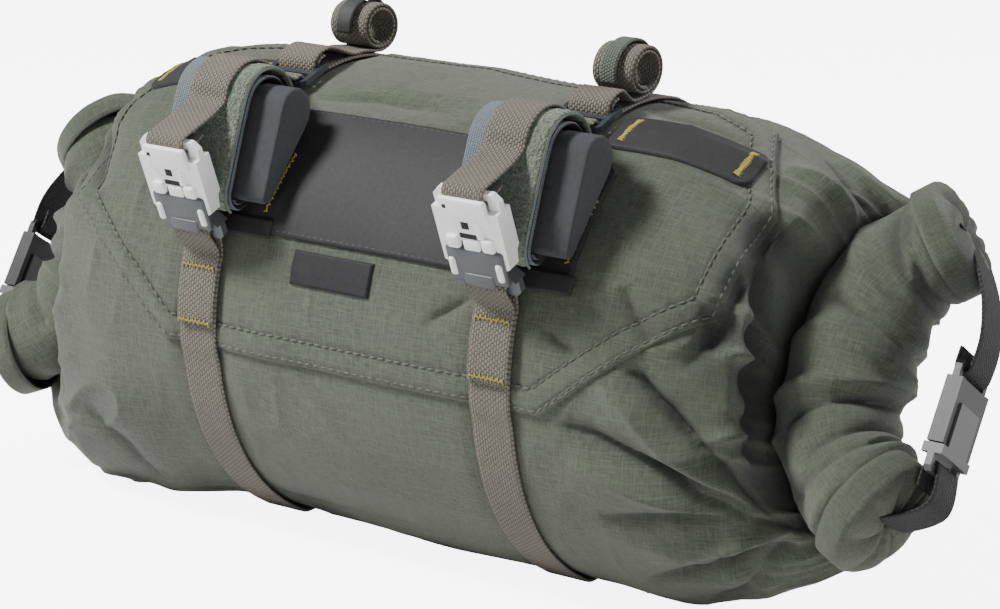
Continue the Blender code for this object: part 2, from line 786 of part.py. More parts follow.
def box(halfWidth, low, high):
    return [(-halfWidth, low), (halfWidth, low), (halfWidth, high), (-halfWidth, high)]


def clipped(halfWidth, low, high, corner):
    return [(-halfWidth + corner, low), (halfWidth - corner, low), (halfWidth, low + corner),
            (halfWidth, high - corner), (halfWidth - corner, high), (-halfWidth + corner, high),
            (-halfWidth, high - corner), (-halfWidth, low + corner)]


def makeLocks():
    lock, out, along = lockFrame()
    half = LOCK_LENGTH / 2
    slotHalf = STRAP_WIDTH / 2 + GAP * 2
    front = -half + LOCK_BAR
    middle = -half + LOCK_BAR / 2 + LOCK_MIDDLE
    slots = [box(slotHalf, front, middle - LOCK_BAR / 2), box(slotHalf, middle + LOCK_BAR / 2, half - LOCK_BAR)]
    for name, (x, coil) in STRAPS.items():
        place = placer(x, lock, along, out)
        frameOutline("ladder_lock_" + name, clipped(LOCK_WIDTH / 2, -half, half, 0.002), slots,
                     LOCK_BAR, place, "lock_plastic")


def makeBuckles():
    low, high, outward, lean = buckleFrame()
    bar = BUCKLE_BAR
    half = BUCKLE_WIDTH / 2
    slotHalf = STRAP_WIDTH / 2 + GAP * 2
    slot = 0.0046
    split = BUCKLE_LOWER - bar / 2
    end = BUCKLE_UPPER + BUCKLE_LOWER - bar * 1.5
    prong = 0.0045
    reach = 0.013
    notch = prong + GAP
    for name, (x, coil) in STRAPS.items():
        place = placer(x, low, lean, outward)
        lower = [(-half + 0.002, -bar / 2), (half - 0.002, -bar / 2), (half, -bar / 2 + 0.002), (half, bar / 2 + slot),
                 (half - notch, split - reach - GAP), (half - notch, split), (-half + notch, split),
                 (-half + notch, split - reach - GAP), (-half, bar / 2 + slot), (-half, -bar / 2 + 0.002)]
        frameOutline("buckle_lower_" + name, lower, [box(slotHalf, bar / 2, bar / 2 + slot)], BUCKLE_THICK * 0.8,
                     place, "grey_plastic", (box(half * 2, -bar, bar / 2 + slot - GAP), bar))
        top = split + GAP
        upper = [(-half, top - reach * 0.8), (-half + prong, top - reach), (-half + prong, top), (half - prong, top),
                 (half - prong, top - reach), (half, top - reach * 0.8), (half, end + bar / 2 - 0.003),
                 (half - 0.003, end + bar / 2), (-half + 0.003, end + bar / 2), (-half, end + bar / 2 - 0.003)]
        frameOutline("buckle_upper_" + name, upper, [box(slotHalf, end - bar / 2 - slot, end - bar / 2)], BUCKLE_THICK,
                     place, "white_plastic", (box(half * 2, end - bar / 2 - slot + GAP, end + bar), bar))


def makeKeepers():
    radius = COIL_RADIUS + STRAP_THICK / 2 + GAP + KEEPER_THICK / 2
    for name, (x, coil) in STRAPS.items():
        out, along = frameAt(coil)
        center = skinFlat(coil, STRAP_MID + LAYER_STEP + COIL_REST + COIL_RADIUS)
        start = math.degrees(math.atan2(-out.y, -out.x))
        path = arcPath(center, radius, start + 35.0, start + 290.0, 9)
        ribbon("tail_keeper_" + name, path, KEEPER_THICK, x, KEEPER_WIDTH, "rubber")


def bowSpace(side, x, across, up):
    """Space point from an end's own coordinates: x, along the mouth, and across it."""
    sign, out, shift, half = MOUTHS[side]
    point = Vector((x, 0.0, 0.0)) + MOUTH_ALONG * (across + shift)
    point += MOUTH_UP * (out + STRAP_SHIFT[side] + up)
    point.x *= sign
    return point


def makeClosures():
    """Closure straps from the rolled ends, joined by a side release buckle."""
    slotHalf = CLOSURE_WIDTH / 2 + GAP * 2
    split = CLASP_SHIFT + CLASP_LENGTH * (0.5 - CLASP_SPLIT)
    low = CLASP_SHIFT - CLASP_LENGTH / 2
    high = CLASP_SHIFT + CLASP_LENGTH / 2
    bar = CLASP_BAR
    slot = CLASP_SLOT
    width = CLASP_WIDTH / 2
    inside = width - CLASP_PRONG
    notch = inside - GAP
    tip = split - CLASP_REACH
    for side, (sign, out, shift, half) in MOUTHS.items():
        arm = bowPoint(side, -1.0)[0].x
        reach = ROLL_RADIUS * ROLL_WIDE * math.cos(math.radians(MOUTH_BEND_LOWER))
        face = arm + reach + CLASP_THICK / 2 + CLASP_CLEAR

        def place(u, v, w, side=side, face=face):
            return bowSpace(side, face + w, v, u)

        female = [(-width + 0.002, low), (width - 0.002, low), (width, low + 0.002), (width, tip - GAP),
                  (notch, tip - GAP), (notch, split), (-notch, split), (-notch, tip - GAP), (-width, tip - GAP),
                  (-width, low + 0.002)]
        frameOutline("clasp_female_" + side, female, [box(slotHalf, low + bar, low + bar + slot)], CLASP_THICK,
                     place, "clasp_plastic", (box(width * 2, low - bar, low + bar + slot - GAP), bar))
        top = split + GAP
        male = [(-width, tip + GAP), (-inside, tip + GAP), (-inside, top), (inside, top), (inside, tip + GAP),
                (width, tip + GAP), (width, high - 0.002), (width - 0.002, high), (-width + 0.002, high),
                (-width, high - 0.002)]
        frameOutline("clasp_male_" + side, male, [box(slotHalf, high - bar - slot, high - bar)], CLASP_THICK * 0.8,
                     place, "clasp_plastic", (box(width * 2, high - bar - slot + GAP, high + bar), bar))
        for name, direction, end in (("lower_", -1, low), ("upper_", 1, high)):
            point = bowPoint(side, direction)[0]
            turn = math.radians(MOUTH_BEND_UPPER if direction > 0 else MOUTH_BEND_LOWER)
            tangent = Vector((math.sin(turn), math.cos(turn) * direction))
            start = Vector((point.x, point.dot(MOUTH_ALONG) - shift))
            barCenter = Vector((face, end - direction * bar / 2))
            loop = loopRadius(bar, CLOSURE_THICK)
            rim = Vector((tangent.y, -tangent.x)) * ROLL_RADIUS * ROLL_WIDE
            path = [start + tangent * GAP]
            path.append(start + tangent * CLOSURE_LEAD)
            if direction > 0:
                path.append(start + rim + tangent * CLOSURE_LEAD)
            path.append(Vector((face + loop, end + direction * 0.012)))
            for angle in (0.0, 36.0, 72.0, 108.0, 144.0, 180.0):
                turn = math.radians(angle)
                path.append(barCenter + Vector((math.cos(turn), -direction * math.sin(turn))) * loop)
            path.append(Vector((face - loop, end + direction * 0.006)))
            closureRibbon("closure_strap_" + name + side, path, side)


def closureRibbon(name, path, side):
    one = offsetPath(path, CLOSURE_THICK / 2)
    two = offsetPath(path, -CLOSURE_THICK / 2)
    bm = bmesh.new()
    low = -CLOSURE_WIDTH / 2
    first = [bm.verts.new(bowSpace(side, point.x, point.y, low)) for point in one]
    second = [bm.verts.new(bowSpace(side, point.x, point.y, low)) for point in two]
    faces = []
    for index in range(len(path) - 1):
        faces.append(bm.faces.new((first[index], first[index + 1], second[index + 1], second[index])))
    grown = bmesh.ops.extrude_face_region(bm, geom=faces)
    verts = [item for item in grown["geom"] if isinstance(item, bmesh.types.BMVert)]
    bmesh.ops.translate(bm, verts=verts, vec=MOUTH_UP * CLOSURE_WIDTH)
    addObject(name, meshFrom(name, bm), "dark_webbing")


def standOnGround():
    """Moves the whole bag so that it stands at z = 0 with its box centered on the origin."""
    bpy.context.view_layer.update()
    graph = bpy.context.evaluated_depsgraph_get()
    low = [1.0e9] * 3
    high = [-1.0e9] * 3
    for obj in PARTS.objects:
        if obj.type != "MESH":
            continue
        shown = obj.evaluated_get(graph)
        for vertex in shown.data.vertices:
            for axis, value in enumerate(shown.matrix_world @ vertex.co):
                low[axis] = min(low[axis], value)
                high[axis] = max(high[axis], value)
    BASE.location = (-(low[0] + high[0]) / 2, -(low[1] + high[1]) / 2, -low[2])
    bpy.context.view_layer.update()


clearScene()
MADE = makeMaterials()
PARTS = bpy.data.collections.new(COLLECTION)
CUTTERS = bpy.data.collections.new("cutters")
bpy.context.scene.collection.children.link(PARTS)
bpy.context.scene.collection.children.link(CUTTERS)
BASE = bpy.data.objects.new("bag_base", None)
PARTS.objects.link(BASE)

makeBody()
for end in MOUTHS:
    makeRolledMouth(end)
makePanels()
makeStraps()
makeRolls()
makeLocks()
makeBuckles()
makeKeepers()
makeClosures()
standOnGround()
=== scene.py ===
import math

import bpy
import numpy as np
from mathutils import Matrix, Vector


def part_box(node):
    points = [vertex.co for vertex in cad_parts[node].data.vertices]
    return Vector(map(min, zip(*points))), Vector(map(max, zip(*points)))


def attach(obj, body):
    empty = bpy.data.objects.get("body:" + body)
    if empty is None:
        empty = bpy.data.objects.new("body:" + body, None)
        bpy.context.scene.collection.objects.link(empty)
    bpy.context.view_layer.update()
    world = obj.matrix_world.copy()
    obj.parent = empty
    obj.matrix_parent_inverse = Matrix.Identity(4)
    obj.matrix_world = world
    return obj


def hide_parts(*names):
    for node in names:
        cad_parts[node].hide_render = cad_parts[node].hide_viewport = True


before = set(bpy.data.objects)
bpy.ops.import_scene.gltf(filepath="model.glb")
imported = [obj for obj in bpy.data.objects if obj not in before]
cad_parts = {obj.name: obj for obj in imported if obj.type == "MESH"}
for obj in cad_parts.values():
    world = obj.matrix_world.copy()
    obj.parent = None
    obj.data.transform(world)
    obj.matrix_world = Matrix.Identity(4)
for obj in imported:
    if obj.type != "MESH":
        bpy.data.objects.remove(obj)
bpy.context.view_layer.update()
print("frame loaded")

# The bag's own shape, as the frame has it: metres, degrees from the front towards the top
bag = {
    "halfDepth": 0.096,
    "halfHeight": 0.103,
    "flat": 0.095,
    "straight": 0.100,
    "shoulder": 0.174,
    "drop": 0.018,
    "power": 2.5,
    "bulgeLeft": 0.010,
    "bulgeRight": 0.003,
    "bulgeAngle": -60.0,
    "bulgeSpread": 75.0,
    "tuckLeft": 0.010,
    "tuckRight": 0.044,
    "tuckAngle": -122.0,
    "tuckSpread": 64.0,
    "seam": -56.25,
    "round": 0.0985,
}
strapX = {"left": -0.079, "right": 0.075}
coilAngle = {"left": 100.0, "right": 90.0}

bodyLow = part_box("bag_body")[0]
strapLow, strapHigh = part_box("compression_strap_left")
base = np.array([
    (strapLow[0] + strapHigh[0]) / 2 - strapX["left"],
    bodyLow[1] + bag["halfDepth"],
    bodyLow[2] + bag["flat"],
])


# numbers and meshes
def smoothStep(value):
    value = np.clip(value, 0.0, 1.0)
    return value * value * (3.0 - 2.0 * value)


def unit(vectors):
    return vectors / np.maximum(np.linalg.norm(vectors, axis=-1, keepdims=True), 1e-12)


def cellNoise(u, v, seed):
    # Smooth noise from 0 to 1 on a plane
    table = np.random.RandomState(seed).rand(64, 64)
    lowU = np.floor(u).astype(int)
    lowV = np.floor(v).astype(int)
    fadeU = smoothStep(u - lowU)
    fadeV = smoothStep(v - lowV)
    near = table[lowU % 64, lowV % 64] * (1 - fadeU) + table[(lowU + 1) % 64, lowV % 64] * fadeU
    far = table[lowU % 64, (lowV + 1) % 64] * (1 - fadeU) + table[(lowU + 1) % 64, (lowV + 1) % 64] * fadeU
    return near * (1 - fadeV) + far * fadeV


def folded(noise):
    # Smooth noise turned into sharp ridges
    return 1.0 - np.abs(2.0 * noise - 1.0)


def segmentDistance(x, y, start, end):
    # Distance of places on a plane to a segment, and their share along it
    dx, dy = end[0] - start[0], end[1] - start[1]
    du, dv = x - start[0], y - start[1]
    share = np.clip((du * dx + dv * dy) / (dx * dx + dy * dy), 0.0, 1.0)
    return np.hypot(du - share * dx, dv - share * dy), share


def deselectAll():
    for item in bpy.context.selected_objects:
        item.select_set(False)


def addMesh(name, points, faces, material):
    mesh = bpy.data.meshes.new(name)
    mesh.from_pydata(points.reshape(-1, 3).tolist(), [], faces)
    mesh.polygons.foreach_set("use_smooth", [True] * len(mesh.polygons))
    mesh.materials.append(material)
    mesh.update()
    obj = bpy.data.objects.new(name, mesh)
    bpy.context.scene.collection.objects.link(obj)
    return obj


def addGrid(name, points, uvs, material, closed=False, capped=False, fold=None):
    # Quads over a grid of points; closed joins the last column to the first
    rows, columns = points.shape[:2]
    index = np.arange(rows * columns).reshape(rows, columns)
    if closed:
        index = np.concatenate([index, index[:, :1]], axis=1)
        uvs = np.concatenate([uvs, uvs[:, :1]], axis=1) if uvs.shape[1] == columns else uvs
    low, high = slice(None, -1), slice(1, None)
    corners = ((low, low), (low, high), (high, high), (high, low))
    faces = np.stack([index[corner] for corner in corners], axis=-1).reshape(-1, 4).tolist()
    loops = np.stack([uvs[corner] for corner in corners], axis=2).reshape(-1, 2)
    if capped:
        first = index[0, :columns][::-1].tolist()
        last = index[-1, :columns].tolist()
        faces += [first, last]
        loops = np.concatenate([loops, uvs[0, :columns][::-1], uvs[-1, :columns]])
    obj = addMesh(name, points, faces, material)
    layer = obj.data.uv_layers.new(name="cloth")
    layer.data.foreach_set("uv", np.ascontiguousarray(loops, dtype=np.float32).ravel())
    # fold is the painted shade weight for the folds, kept on the mesh for the cloth colour
    if fold is not None:
        deep = np.ascontiguousarray(np.clip(fold, 0.0, 1.0), dtype=np.float32)
        obj.data.attributes.new("fold", "FLOAT", "POINT").data.foreach_set("value", deep.ravel())
    return obj


def turnedOut(obj):
    deselectAll()
    obj.select_set(True)
    bpy.context.view_layer.objects.active = obj
    bpy.ops.object.mode_set(mode="EDIT")
    bpy.ops.mesh.select_all(action="SELECT")
    bpy.ops.mesh.normals_make_consistent(inside=False)
    bpy.ops.object.mode_set(mode="OBJECT")
    return obj


def applyAll(obj):
    deselectAll()
    obj.select_set(True)
    bpy.context.view_layer.objects.active = obj
    for modifier in list(obj.modifiers):
        bpy.ops.object.modifier_apply(modifier=modifier.name)
    return obj


def settle(obj, slotName, *nodes):
    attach(obj, "root")
    if nodes:
        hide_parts(*nodes)
    return obj


# shared shader effects
def newGroup(name, inputs, outputs):
    group = bpy.data.node_groups.new(name, "ShaderNodeTree")
    for label, kind, value in inputs:
        socket = group.interface.new_socket(label, in_out="INPUT", socket_type=kind)
        if value is not None:
            socket.default_value = value
    for label, kind in outputs:
        group.interface.new_socket(label, in_out="OUTPUT", socket_type=kind)
    start = group.nodes.new("NodeGroupInput")
    end = group.nodes.new("NodeGroupOutput")
    return group, start, end


def addNode(tree, kind, **inputs):
    # Shader node with its inputs set to values or linked to sockets
    node = tree.nodes.new("ShaderNode" + kind)
    for name, value in inputs.items():
        if isinstance(value, bpy.types.NodeSocket):
            tree.links.new(value, node.inputs[name])
        else:
            node.inputs[name].default_value = value
    return node


def mathNode(tree, operation, one, two=None):
    node = tree.nodes.new("ShaderNodeMath")
    node.operation = operation
    for place, value in enumerate((one, two)):
        if value is None:
            continue
        if isinstance(value, (int, float)):
            node.inputs[place].default_value = value
        else:
            tree.links.new(value, node.inputs[place])
    return node.outputs[0]


def ripstopGroup():
    # Fine plain weave with a square grid of thicker threads
    tree, start, end = newGroup(
        "ripstopWeave",
        [("Vector", "NodeSocketVector", None), ("Pitch", "NodeSocketFloat", 0.0052),
         ("Thread", "NodeSocketFloat", 0.00055)],
        [("Grid", "NodeSocketFloat"), ("Height", "NodeSocketFloat"), ("Slub", "NodeSocketFloat")],
    )
    split = addNode(tree, "SeparateXYZ", Vector=start.outputs["Vector"])
    lines = []
    weaves = []
    for axis in ("X", "Y"):
        scaled = mathNode(tree, "DIVIDE", split.outputs[axis], start.outputs["Pitch"])
        away = mathNode(tree, "ABSOLUTE", mathNode(tree, "SUBTRACT", mathNode(tree, "FRACT", scaled), 0.5))
        lines.append(mathNode(tree, "GREATER_THAN", away, 0.455))
        fine = mathNode(tree, "DIVIDE", split.outputs[axis], start.outputs["Thread"])
        weaves.append(mathNode(tree, "SINE", mathNode(tree, "MULTIPLY", fine, math.tau)))
    grid = mathNode(tree, "MAXIMUM", lines[0], lines[1])
    weave = mathNode(tree, "MULTIPLY", weaves[0], weaves[1])
    slubs = []
    for scale in ((1500.0, 170.0, 1.0), (170.0, 1500.0, 1.0)):
        stretch = addNode(tree, "Mapping", Vector=start.outputs["Vector"], Scale=scale)
        slub = addNode(tree, "TexNoise", Vector=stretch.outputs[0], Scale=1.0, Detail=2.0)
        slubs.append(slub.outputs[0])
    both = mathNode(tree, "MULTIPLY", mathNode(tree, "ADD", *slubs), 0.5)
    height = mathNode(tree, "MULTIPLY", grid, 0.9)
    for layer, share in ((weave, 0.35), (both, 1.1)):
        height = mathNode(tree, "ADD", height, mathNode(tree, "MULTIPLY", layer, share))
    tree.links.new(grid, end.inputs["Grid"])
    tree.links.new(height, end.inputs["Height"])
    tree.links.new(both, end.inputs["Slub"])
    return tree


def webbingGroup():
    # Coarse webbing: staggered floats in rows across the strap, with firmer edges
    tree, start, end = newGroup(
        "webbingWeave",
        [("Vector", "NodeSocketVector", None), ("Rib", "NodeSocketFloat", 0.0022),
         ("Thread", "NodeSocketFloat", 0.0013)],
        [("Shade", "NodeSocketFloat"), ("Height", "NodeSocketFloat")],
    )
    split = addNode(tree, "SeparateXYZ", Vector=start.outputs["Vector"])
    column = mathNode(tree, "DIVIDE", split.outputs["Y"], start.outputs["Thread"])
    offset = mathNode(tree, "MULTIPLY", mathNode(tree, "MODULO", mathNode(tree, "FLOOR", column), 2.0), 0.5)
    row = mathNode(tree, "ADD", mathNode(tree, "DIVIDE", split.outputs["X"], start.outputs["Rib"]), offset)
    wave = mathNode(tree, "ABSOLUTE", mathNode(tree, "SINE", mathNode(tree, "MULTIPLY", row, math.pi)))
    side = mathNode(tree, "ABSOLUTE", mathNode(tree, "SINE", mathNode(tree, "MULTIPLY", column, math.pi)))
    thread = mathNode(tree, "POWER", mathNode(tree, "MULTIPLY", wave, side), 0.6)
    fuzz = addNode(tree, "TexNoise", Vector=start.outputs["Vector"], Scale=1800.0, Detail=3.0)
    height = mathNode(tree, "ADD", thread, mathNode(tree, "MULTIPLY", fuzz.outputs[0], 0.35))
    tree.links.new(thread, end.inputs["Shade"])
    tree.links.new(height, end.inputs["Height"])
    return tree


def mottleGroup():
    # Uneven dye, dust and rubbed patches at three sizes, on object coordinates
    group, start, end = newGroup(
        "mottle",
        [("Vector", "NodeSocketVector", None), ("Size", "NodeSocketFloat", 60.0)],
        [("Large", "NodeSocketFloat"), ("Fine", "NodeSocketFloat"), ("Speck", "NodeSocketFloat")],
    )
    for label, factor, detail in (("Large", 0.35, 3.0), ("Fine", 9.0, 5.0), ("Speck", 60.0, 2.0)):
        size = mathNode(group, "MULTIPLY", start.outputs["Size"], factor)
        texture = addNode(group, "TexNoise", Vector=start.outputs["Vector"], Scale=size, Detail=detail,
                          Roughness=0.6)
        group.links.new(texture.outputs[0], end.inputs[label])
    return group


def pileGroup():
    # Tangled loops of a hook and loop pile
    group, start, end = newGroup(
        "loopPile",
        [("Vector", "NodeSocketVector", None), ("Size", "NodeSocketFloat", 900.0)],
        [("Shade", "NodeSocketFloat"), ("Height", "NodeSocketFloat")],
    )
    warp = addNode(group, "TexNoise", Vector=start.outputs["Vector"], Scale=start.outputs["Size"],
                   Detail=3.0, Distortion=1.6)
    size = mathNode(group, "MULTIPLY", start.outputs["Size"], 0.9)
    cells = addNode(group, "TexVoronoi", Vector=start.outputs["Vector"], Scale=size)
    height = mathNode(group, "MULTIPLY", cells.outputs["Distance"], 0.7)
    height = mathNode(group, "ADD", warp.outputs[0], height)
    group.links.new(warp.outputs[0], end.inputs["Shade"])
    group.links.new(height, end.inputs["Height"])
    return group


ripstopWeave = ripstopGroup()
webbingWeave = webbingGroup()
mottle = mottleGroup()
loopPile = pileGroup()


def colorMix(tree, factor, one, two, blend="MIX"):
    node = tree.nodes.new("ShaderNodeMix")
    node.data_type = "RGBA"
    node.blend_type = blend
    if isinstance(factor, (int, float)):
        node.inputs[0].default_value = factor
    else:
        tree.links.new(factor, node.inputs[0])
    for place, value in ((6, one), (7, two)):
        if isinstance(value, tuple):
            node.inputs[place].default_value = (*value, 1.0)
        else:
            tree.links.new(value, node.inputs[place])
    return node.outputs[2]


def spread(tree, value, low, high, outLow=0.0, outHigh=1.0):
    node = tree.nodes.new("ShaderNodeMapRange")
    node.inputs[1].default_value = low
    node.inputs[2].default_value = high
    node.inputs[3].default_value = outLow
    node.inputs[4].default_value = outHigh
    tree.links.new(value, node.inputs[0])
    return node.outputs[0]


def startMaterial(name, roughness, sheen=0.0, coat=0.0):
    material = bpy.data.materials.new(name)
    material.use_nodes = True
    tree = material.node_tree
    shader = tree.nodes["Principled BSDF"]
    shader.inputs["Roughness"].default_value = roughness
    shader.inputs["Sheen Weight"].default_value = sheen
    shader.inputs["Sheen Roughness"].default_value = 0.5
    shader.inputs["Coat Weight"].default_value = coat
    place = tree.nodes.new("ShaderNodeTexCoord")
    return material, tree, shader, place


def addGroup(tree, group, vector, **values):
    node = tree.nodes.new("ShaderNodeGroup")
    node.node_tree = group
    tree.links.new(vector, node.inputs["Vector"])
    for label, value in values.items():
        node.inputs[label].default_value = value
    return node


def addBump(tree, shader, height, distance, strength=1.0, before=None):
    bump = addNode(tree, "Bump", Height=height, Distance=distance, Strength=strength)
    if before is not None:
        tree.links.new(before, bump.inputs["Normal"])
    tree.links.new(bump.outputs[0], shader.inputs["Normal"])
    return bump.outputs[0]


def clothMaterial(name, dark, light, roughness, lineShade, crumple):
    # Ripstop cloth: weave grid, uneven dye, painted shade in the folds, small crumples
    material, tree, shader, place = startMaterial(name, roughness, sheen=0.18)
    weave = addGroup(tree, ripstopWeave, place.outputs["UV"])
    stain = addGroup(tree, mottle, place.outputs["Object"])
    color = colorMix(tree, spread(tree, stain.outputs["Large"], 0.3, 0.7), dark, light)
    color = colorMix(tree, spread(tree, weave.outputs["Slub"], 0.40, 0.66), color,
                     tuple(1.90 * channel for channel in light))
    shade = spread(tree, weave.outputs["Grid"], 0.0, 1.0, 0.0, lineShade)
    color = colorMix(tree, shade, color, tuple(1.7 * channel for channel in light))
    # painted shade: the colour darkens towards the bottoms of the folds, where shade falls
    deep = tree.nodes.new("ShaderNodeAttribute")
    deep.attribute_name = "fold"
    color = colorMix(tree, mathNode(tree, "MULTIPLY", deep.outputs["Fac"], 0.8), color,
                     tuple(0.35 * channel for channel in dark))
    tree.links.new(color, shader.inputs["Base Color"])
    folds = addBump(tree, shader, stain.outputs["Fine"], 0.0022, crumple)
    addBump(tree, shader, weave.outputs["Height"], 0.00035, 0.8, folds)
    return material


def strapMaterial(name, dark, light, rib=0.0022, thread=0.0013):
    material, tree, shader, place = startMaterial(name, 0.75, sheen=0.04)
    weave = addGroup(tree, webbingWeave, place.outputs["UV"], Rib=rib, Thread=thread)
    stain = addGroup(tree, mottle, place.outputs["Object"])
    color = colorMix(tree, weave.outputs["Shade"], dark, light)
    color = colorMix(tree, spread(tree, stain.outputs["Fine"], 0.3, 0.75, 0.0, 0.35), color, dark)
    tree.links.new(color, shader.inputs["Base Color"])
    addBump(tree, shader, weave.outputs["Height"], 0.0006, 0.9)
    return material


def coatedMaterial(name, dark, light, roughness, bump=0.0002):
    # Coated or felted textile: fine speckle and soft mottling
    material, tree, shader, place = startMaterial(name, roughness, sheen=0.02)
    shader.inputs["Specular IOR Level"].default_value = 0.3
    stain = addGroup(tree, mottle, place.outputs["Object"])
    color = colorMix(tree, spread(tree, stain.outputs["Fine"], 0.3, 0.7), dark, light)
    color = colorMix(tree, spread(tree, stain.outputs["Speck"], 0.42, 0.6, 0.0, 0.5), color,
                     tuple(1.35 * channel for channel in light))
    tree.links.new(color, shader.inputs["Base Color"])
    addBump(tree, shader, stain.outputs["Speck"], bump, 0.7)
    return material


def plasticMaterial(name, color, roughness, coat=0.0):
    # Moulded plastic: fine grain, faint scuffs
    material, tree, shader, place = startMaterial(name, roughness, coat=coat)
    stain = addGroup(tree, mottle, place.outputs["Object"], Size=120.0)
    worn = tuple(min(1.0, channel * 1.2 + 0.01) for channel in color)
    mixed = colorMix(tree, spread(tree, stain.outputs["Fine"], 0.4, 0.75, 0.0, 0.6), color, worn)
    tree.links.new(mixed, shader.inputs["Base Color"])
    tree.links.new(spread(tree, stain.outputs["Fine"], 0.2, 0.8, roughness * 0.8, roughness * 1.25),
                   shader.inputs["Roughness"])
    addBump(tree, shader, stain.outputs["Speck"], 0.00006, 0.5)
    return material


def threadMaterial(name, dark, light):
    material, tree, shader, place = startMaterial(name, 0.55, sheen=0.2)
    stain = addGroup(tree, mottle, place.outputs["Object"], Size=300.0)
    color = colorMix(tree, stain.outputs["Fine"], dark, light)
    tree.links.new(color, shader.inputs["Base Color"])
    addBump(tree, shader, stain.outputs["Speck"], 0.0001, 0.8)
    return material


def pileMaterial(name, dark, light, size, distance):
    material, tree, shader, place = startMaterial(name, 0.85, sheen=0.35)
    loops = addGroup(tree, loopPile, place.outputs["Object"], Size=size)
    color = colorMix(tree, spread(tree, loops.outputs["Shade"], 0.35, 0.7), dark, light)
    tree.links.new(color, shader.inputs["Base Color"])
    addBump(tree, shader, loops.outputs["Height"], distance, 1.0)
    return material


look = {
    "bag": clothMaterial("bagCloth", (0.024, 0.029, 0.017), (0.049, 0.057, 0.036), 0.55, 0.62, 0.30),
    "webbing": strapMaterial("strapWebbing", (0.062, 0.056, 0.043), (0.210, 0.192, 0.156)),
    "darkWebbing": strapMaterial("darkWebbing", (0.004, 0.004, 0.004), (0.020, 0.020, 0.020)),
    "coated": coatedMaterial("coatedCloth", (0.011, 0.011, 0.012), (0.022, 0.022, 0.023), 0.62),
    "foam": coatedMaterial("spacerCloth", (0.030, 0.031, 0.036), (0.046, 0.047, 0.053), 0.75, 0.0004),
    "black": coatedMaterial("blackCloth", (0.008, 0.008, 0.009), (0.018, 0.018, 0.020), 0.7),
    "hook": strapMaterial("hookTape", (0.100, 0.124, 0.138), (0.200, 0.238, 0.260), 0.0011, 0.0011),
    "pile": pileMaterial("loopPile", (0.060, 0.082, 0.056), (0.190, 0.235, 0.165), 700.0, 0.0016),
    "paleEdge": coatedMaterial("tapeEdge", (0.110, 0.135, 0.120), (0.180, 0.215, 0.195), 0.6),
    "white": plasticMaterial("whitePlastic", (0.860, 0.855, 0.840), 0.34),
    "grey": plasticMaterial("greyPlastic", (0.075, 0.078, 0.085), 0.40),
    "lock": plasticMaterial("lockPlastic", (0.028, 0.032, 0.042), 0.22, 0.3),
    "clasp": plasticMaterial("claspPlastic", (0.090, 0.090, 0.088), 0.35),
    "latch": plasticMaterial("latchPlastic", (0.010, 0.010, 0.011), 0.35),
    "rubber": coatedMaterial("keeperRubber", (0.020, 0.022, 0.020), (0.035, 0.038, 0.034), 0.6),
    "keeperCloth": strapMaterial("keeperCloth", (0.060, 0.072, 0.055), (0.120, 0.140, 0.110),
                                 0.0014, 0.0012),
    "thread": threadMaterial("greenThread", (0.060, 0.066, 0.050), (0.110, 0.118, 0.090)),
    "yellow": threadMaterial("yellowThread", (0.210, 0.180, 0.010), (0.420, 0.370, 0.040)),
    "darkThread": threadMaterial("darkThread", (0.012, 0.012, 0.012), (0.030, 0.030, 0.030)),
}
print("materials made")


# the bag's skin
def sectionPoint(x, angle):
    turn = np.radians(angle)
    beyond = np.maximum(0.0, (np.abs(x) - bag["straight"]) / (bag["shoulder"] - bag["straight"]))
    away = np.abs((angle - bag["bulgeAngle"] + 180.0) % 360.0 - 180.0)
    low = np.cos(np.radians(np.minimum(90.0, away * 90.0 / bag["bulgeSpread"]))) ** 2
    bulge = np.where(x < 0.0, bag["bulgeLeft"], bag["bulgeRight"])
    drop = bag["drop"] * beyond ** bag["power"] * (1.0 - low * bulge / bag["bulgeLeft"] * 0.8)
    scale = 1.0 + (bulge * low * smoothStep(beyond * 2.0) - drop) / bag["halfHeight"]
    behind = np.abs((angle - bag["tuckAngle"] + 180.0) % 360.0 - 180.0)
    tucked = np.cos(np.radians(np.minimum(90.0, behind * 90.0 / bag["tuckSpread"]))) ** 2
    tuck = np.where(x < 0.0, bag["tuckLeft"], bag["tuckRight"])
    scale = scale - tuck * tucked * smoothStep(beyond) / bag["halfHeight"]
    y = -bag["halfDepth"] * scale * np.cos(turn)
    z = bag["halfHeight"] * scale * np.sin(turn)
    z = -bag["flat"] + 0.0012 * np.logaddexp(0.0, (z + bag["flat"]) / 0.0012)
    return np.stack(np.broadcast_arrays(x, y, z), axis=-1)


def sectionNormal(x, angle):
    along = sectionPoint(x + 0.0005, angle) - sectionPoint(x - 0.0005, angle)
    around = sectionPoint(x, angle + 0.4) - sectionPoint(x, angle - 0.4)
    return unit(np.cross(along, around))


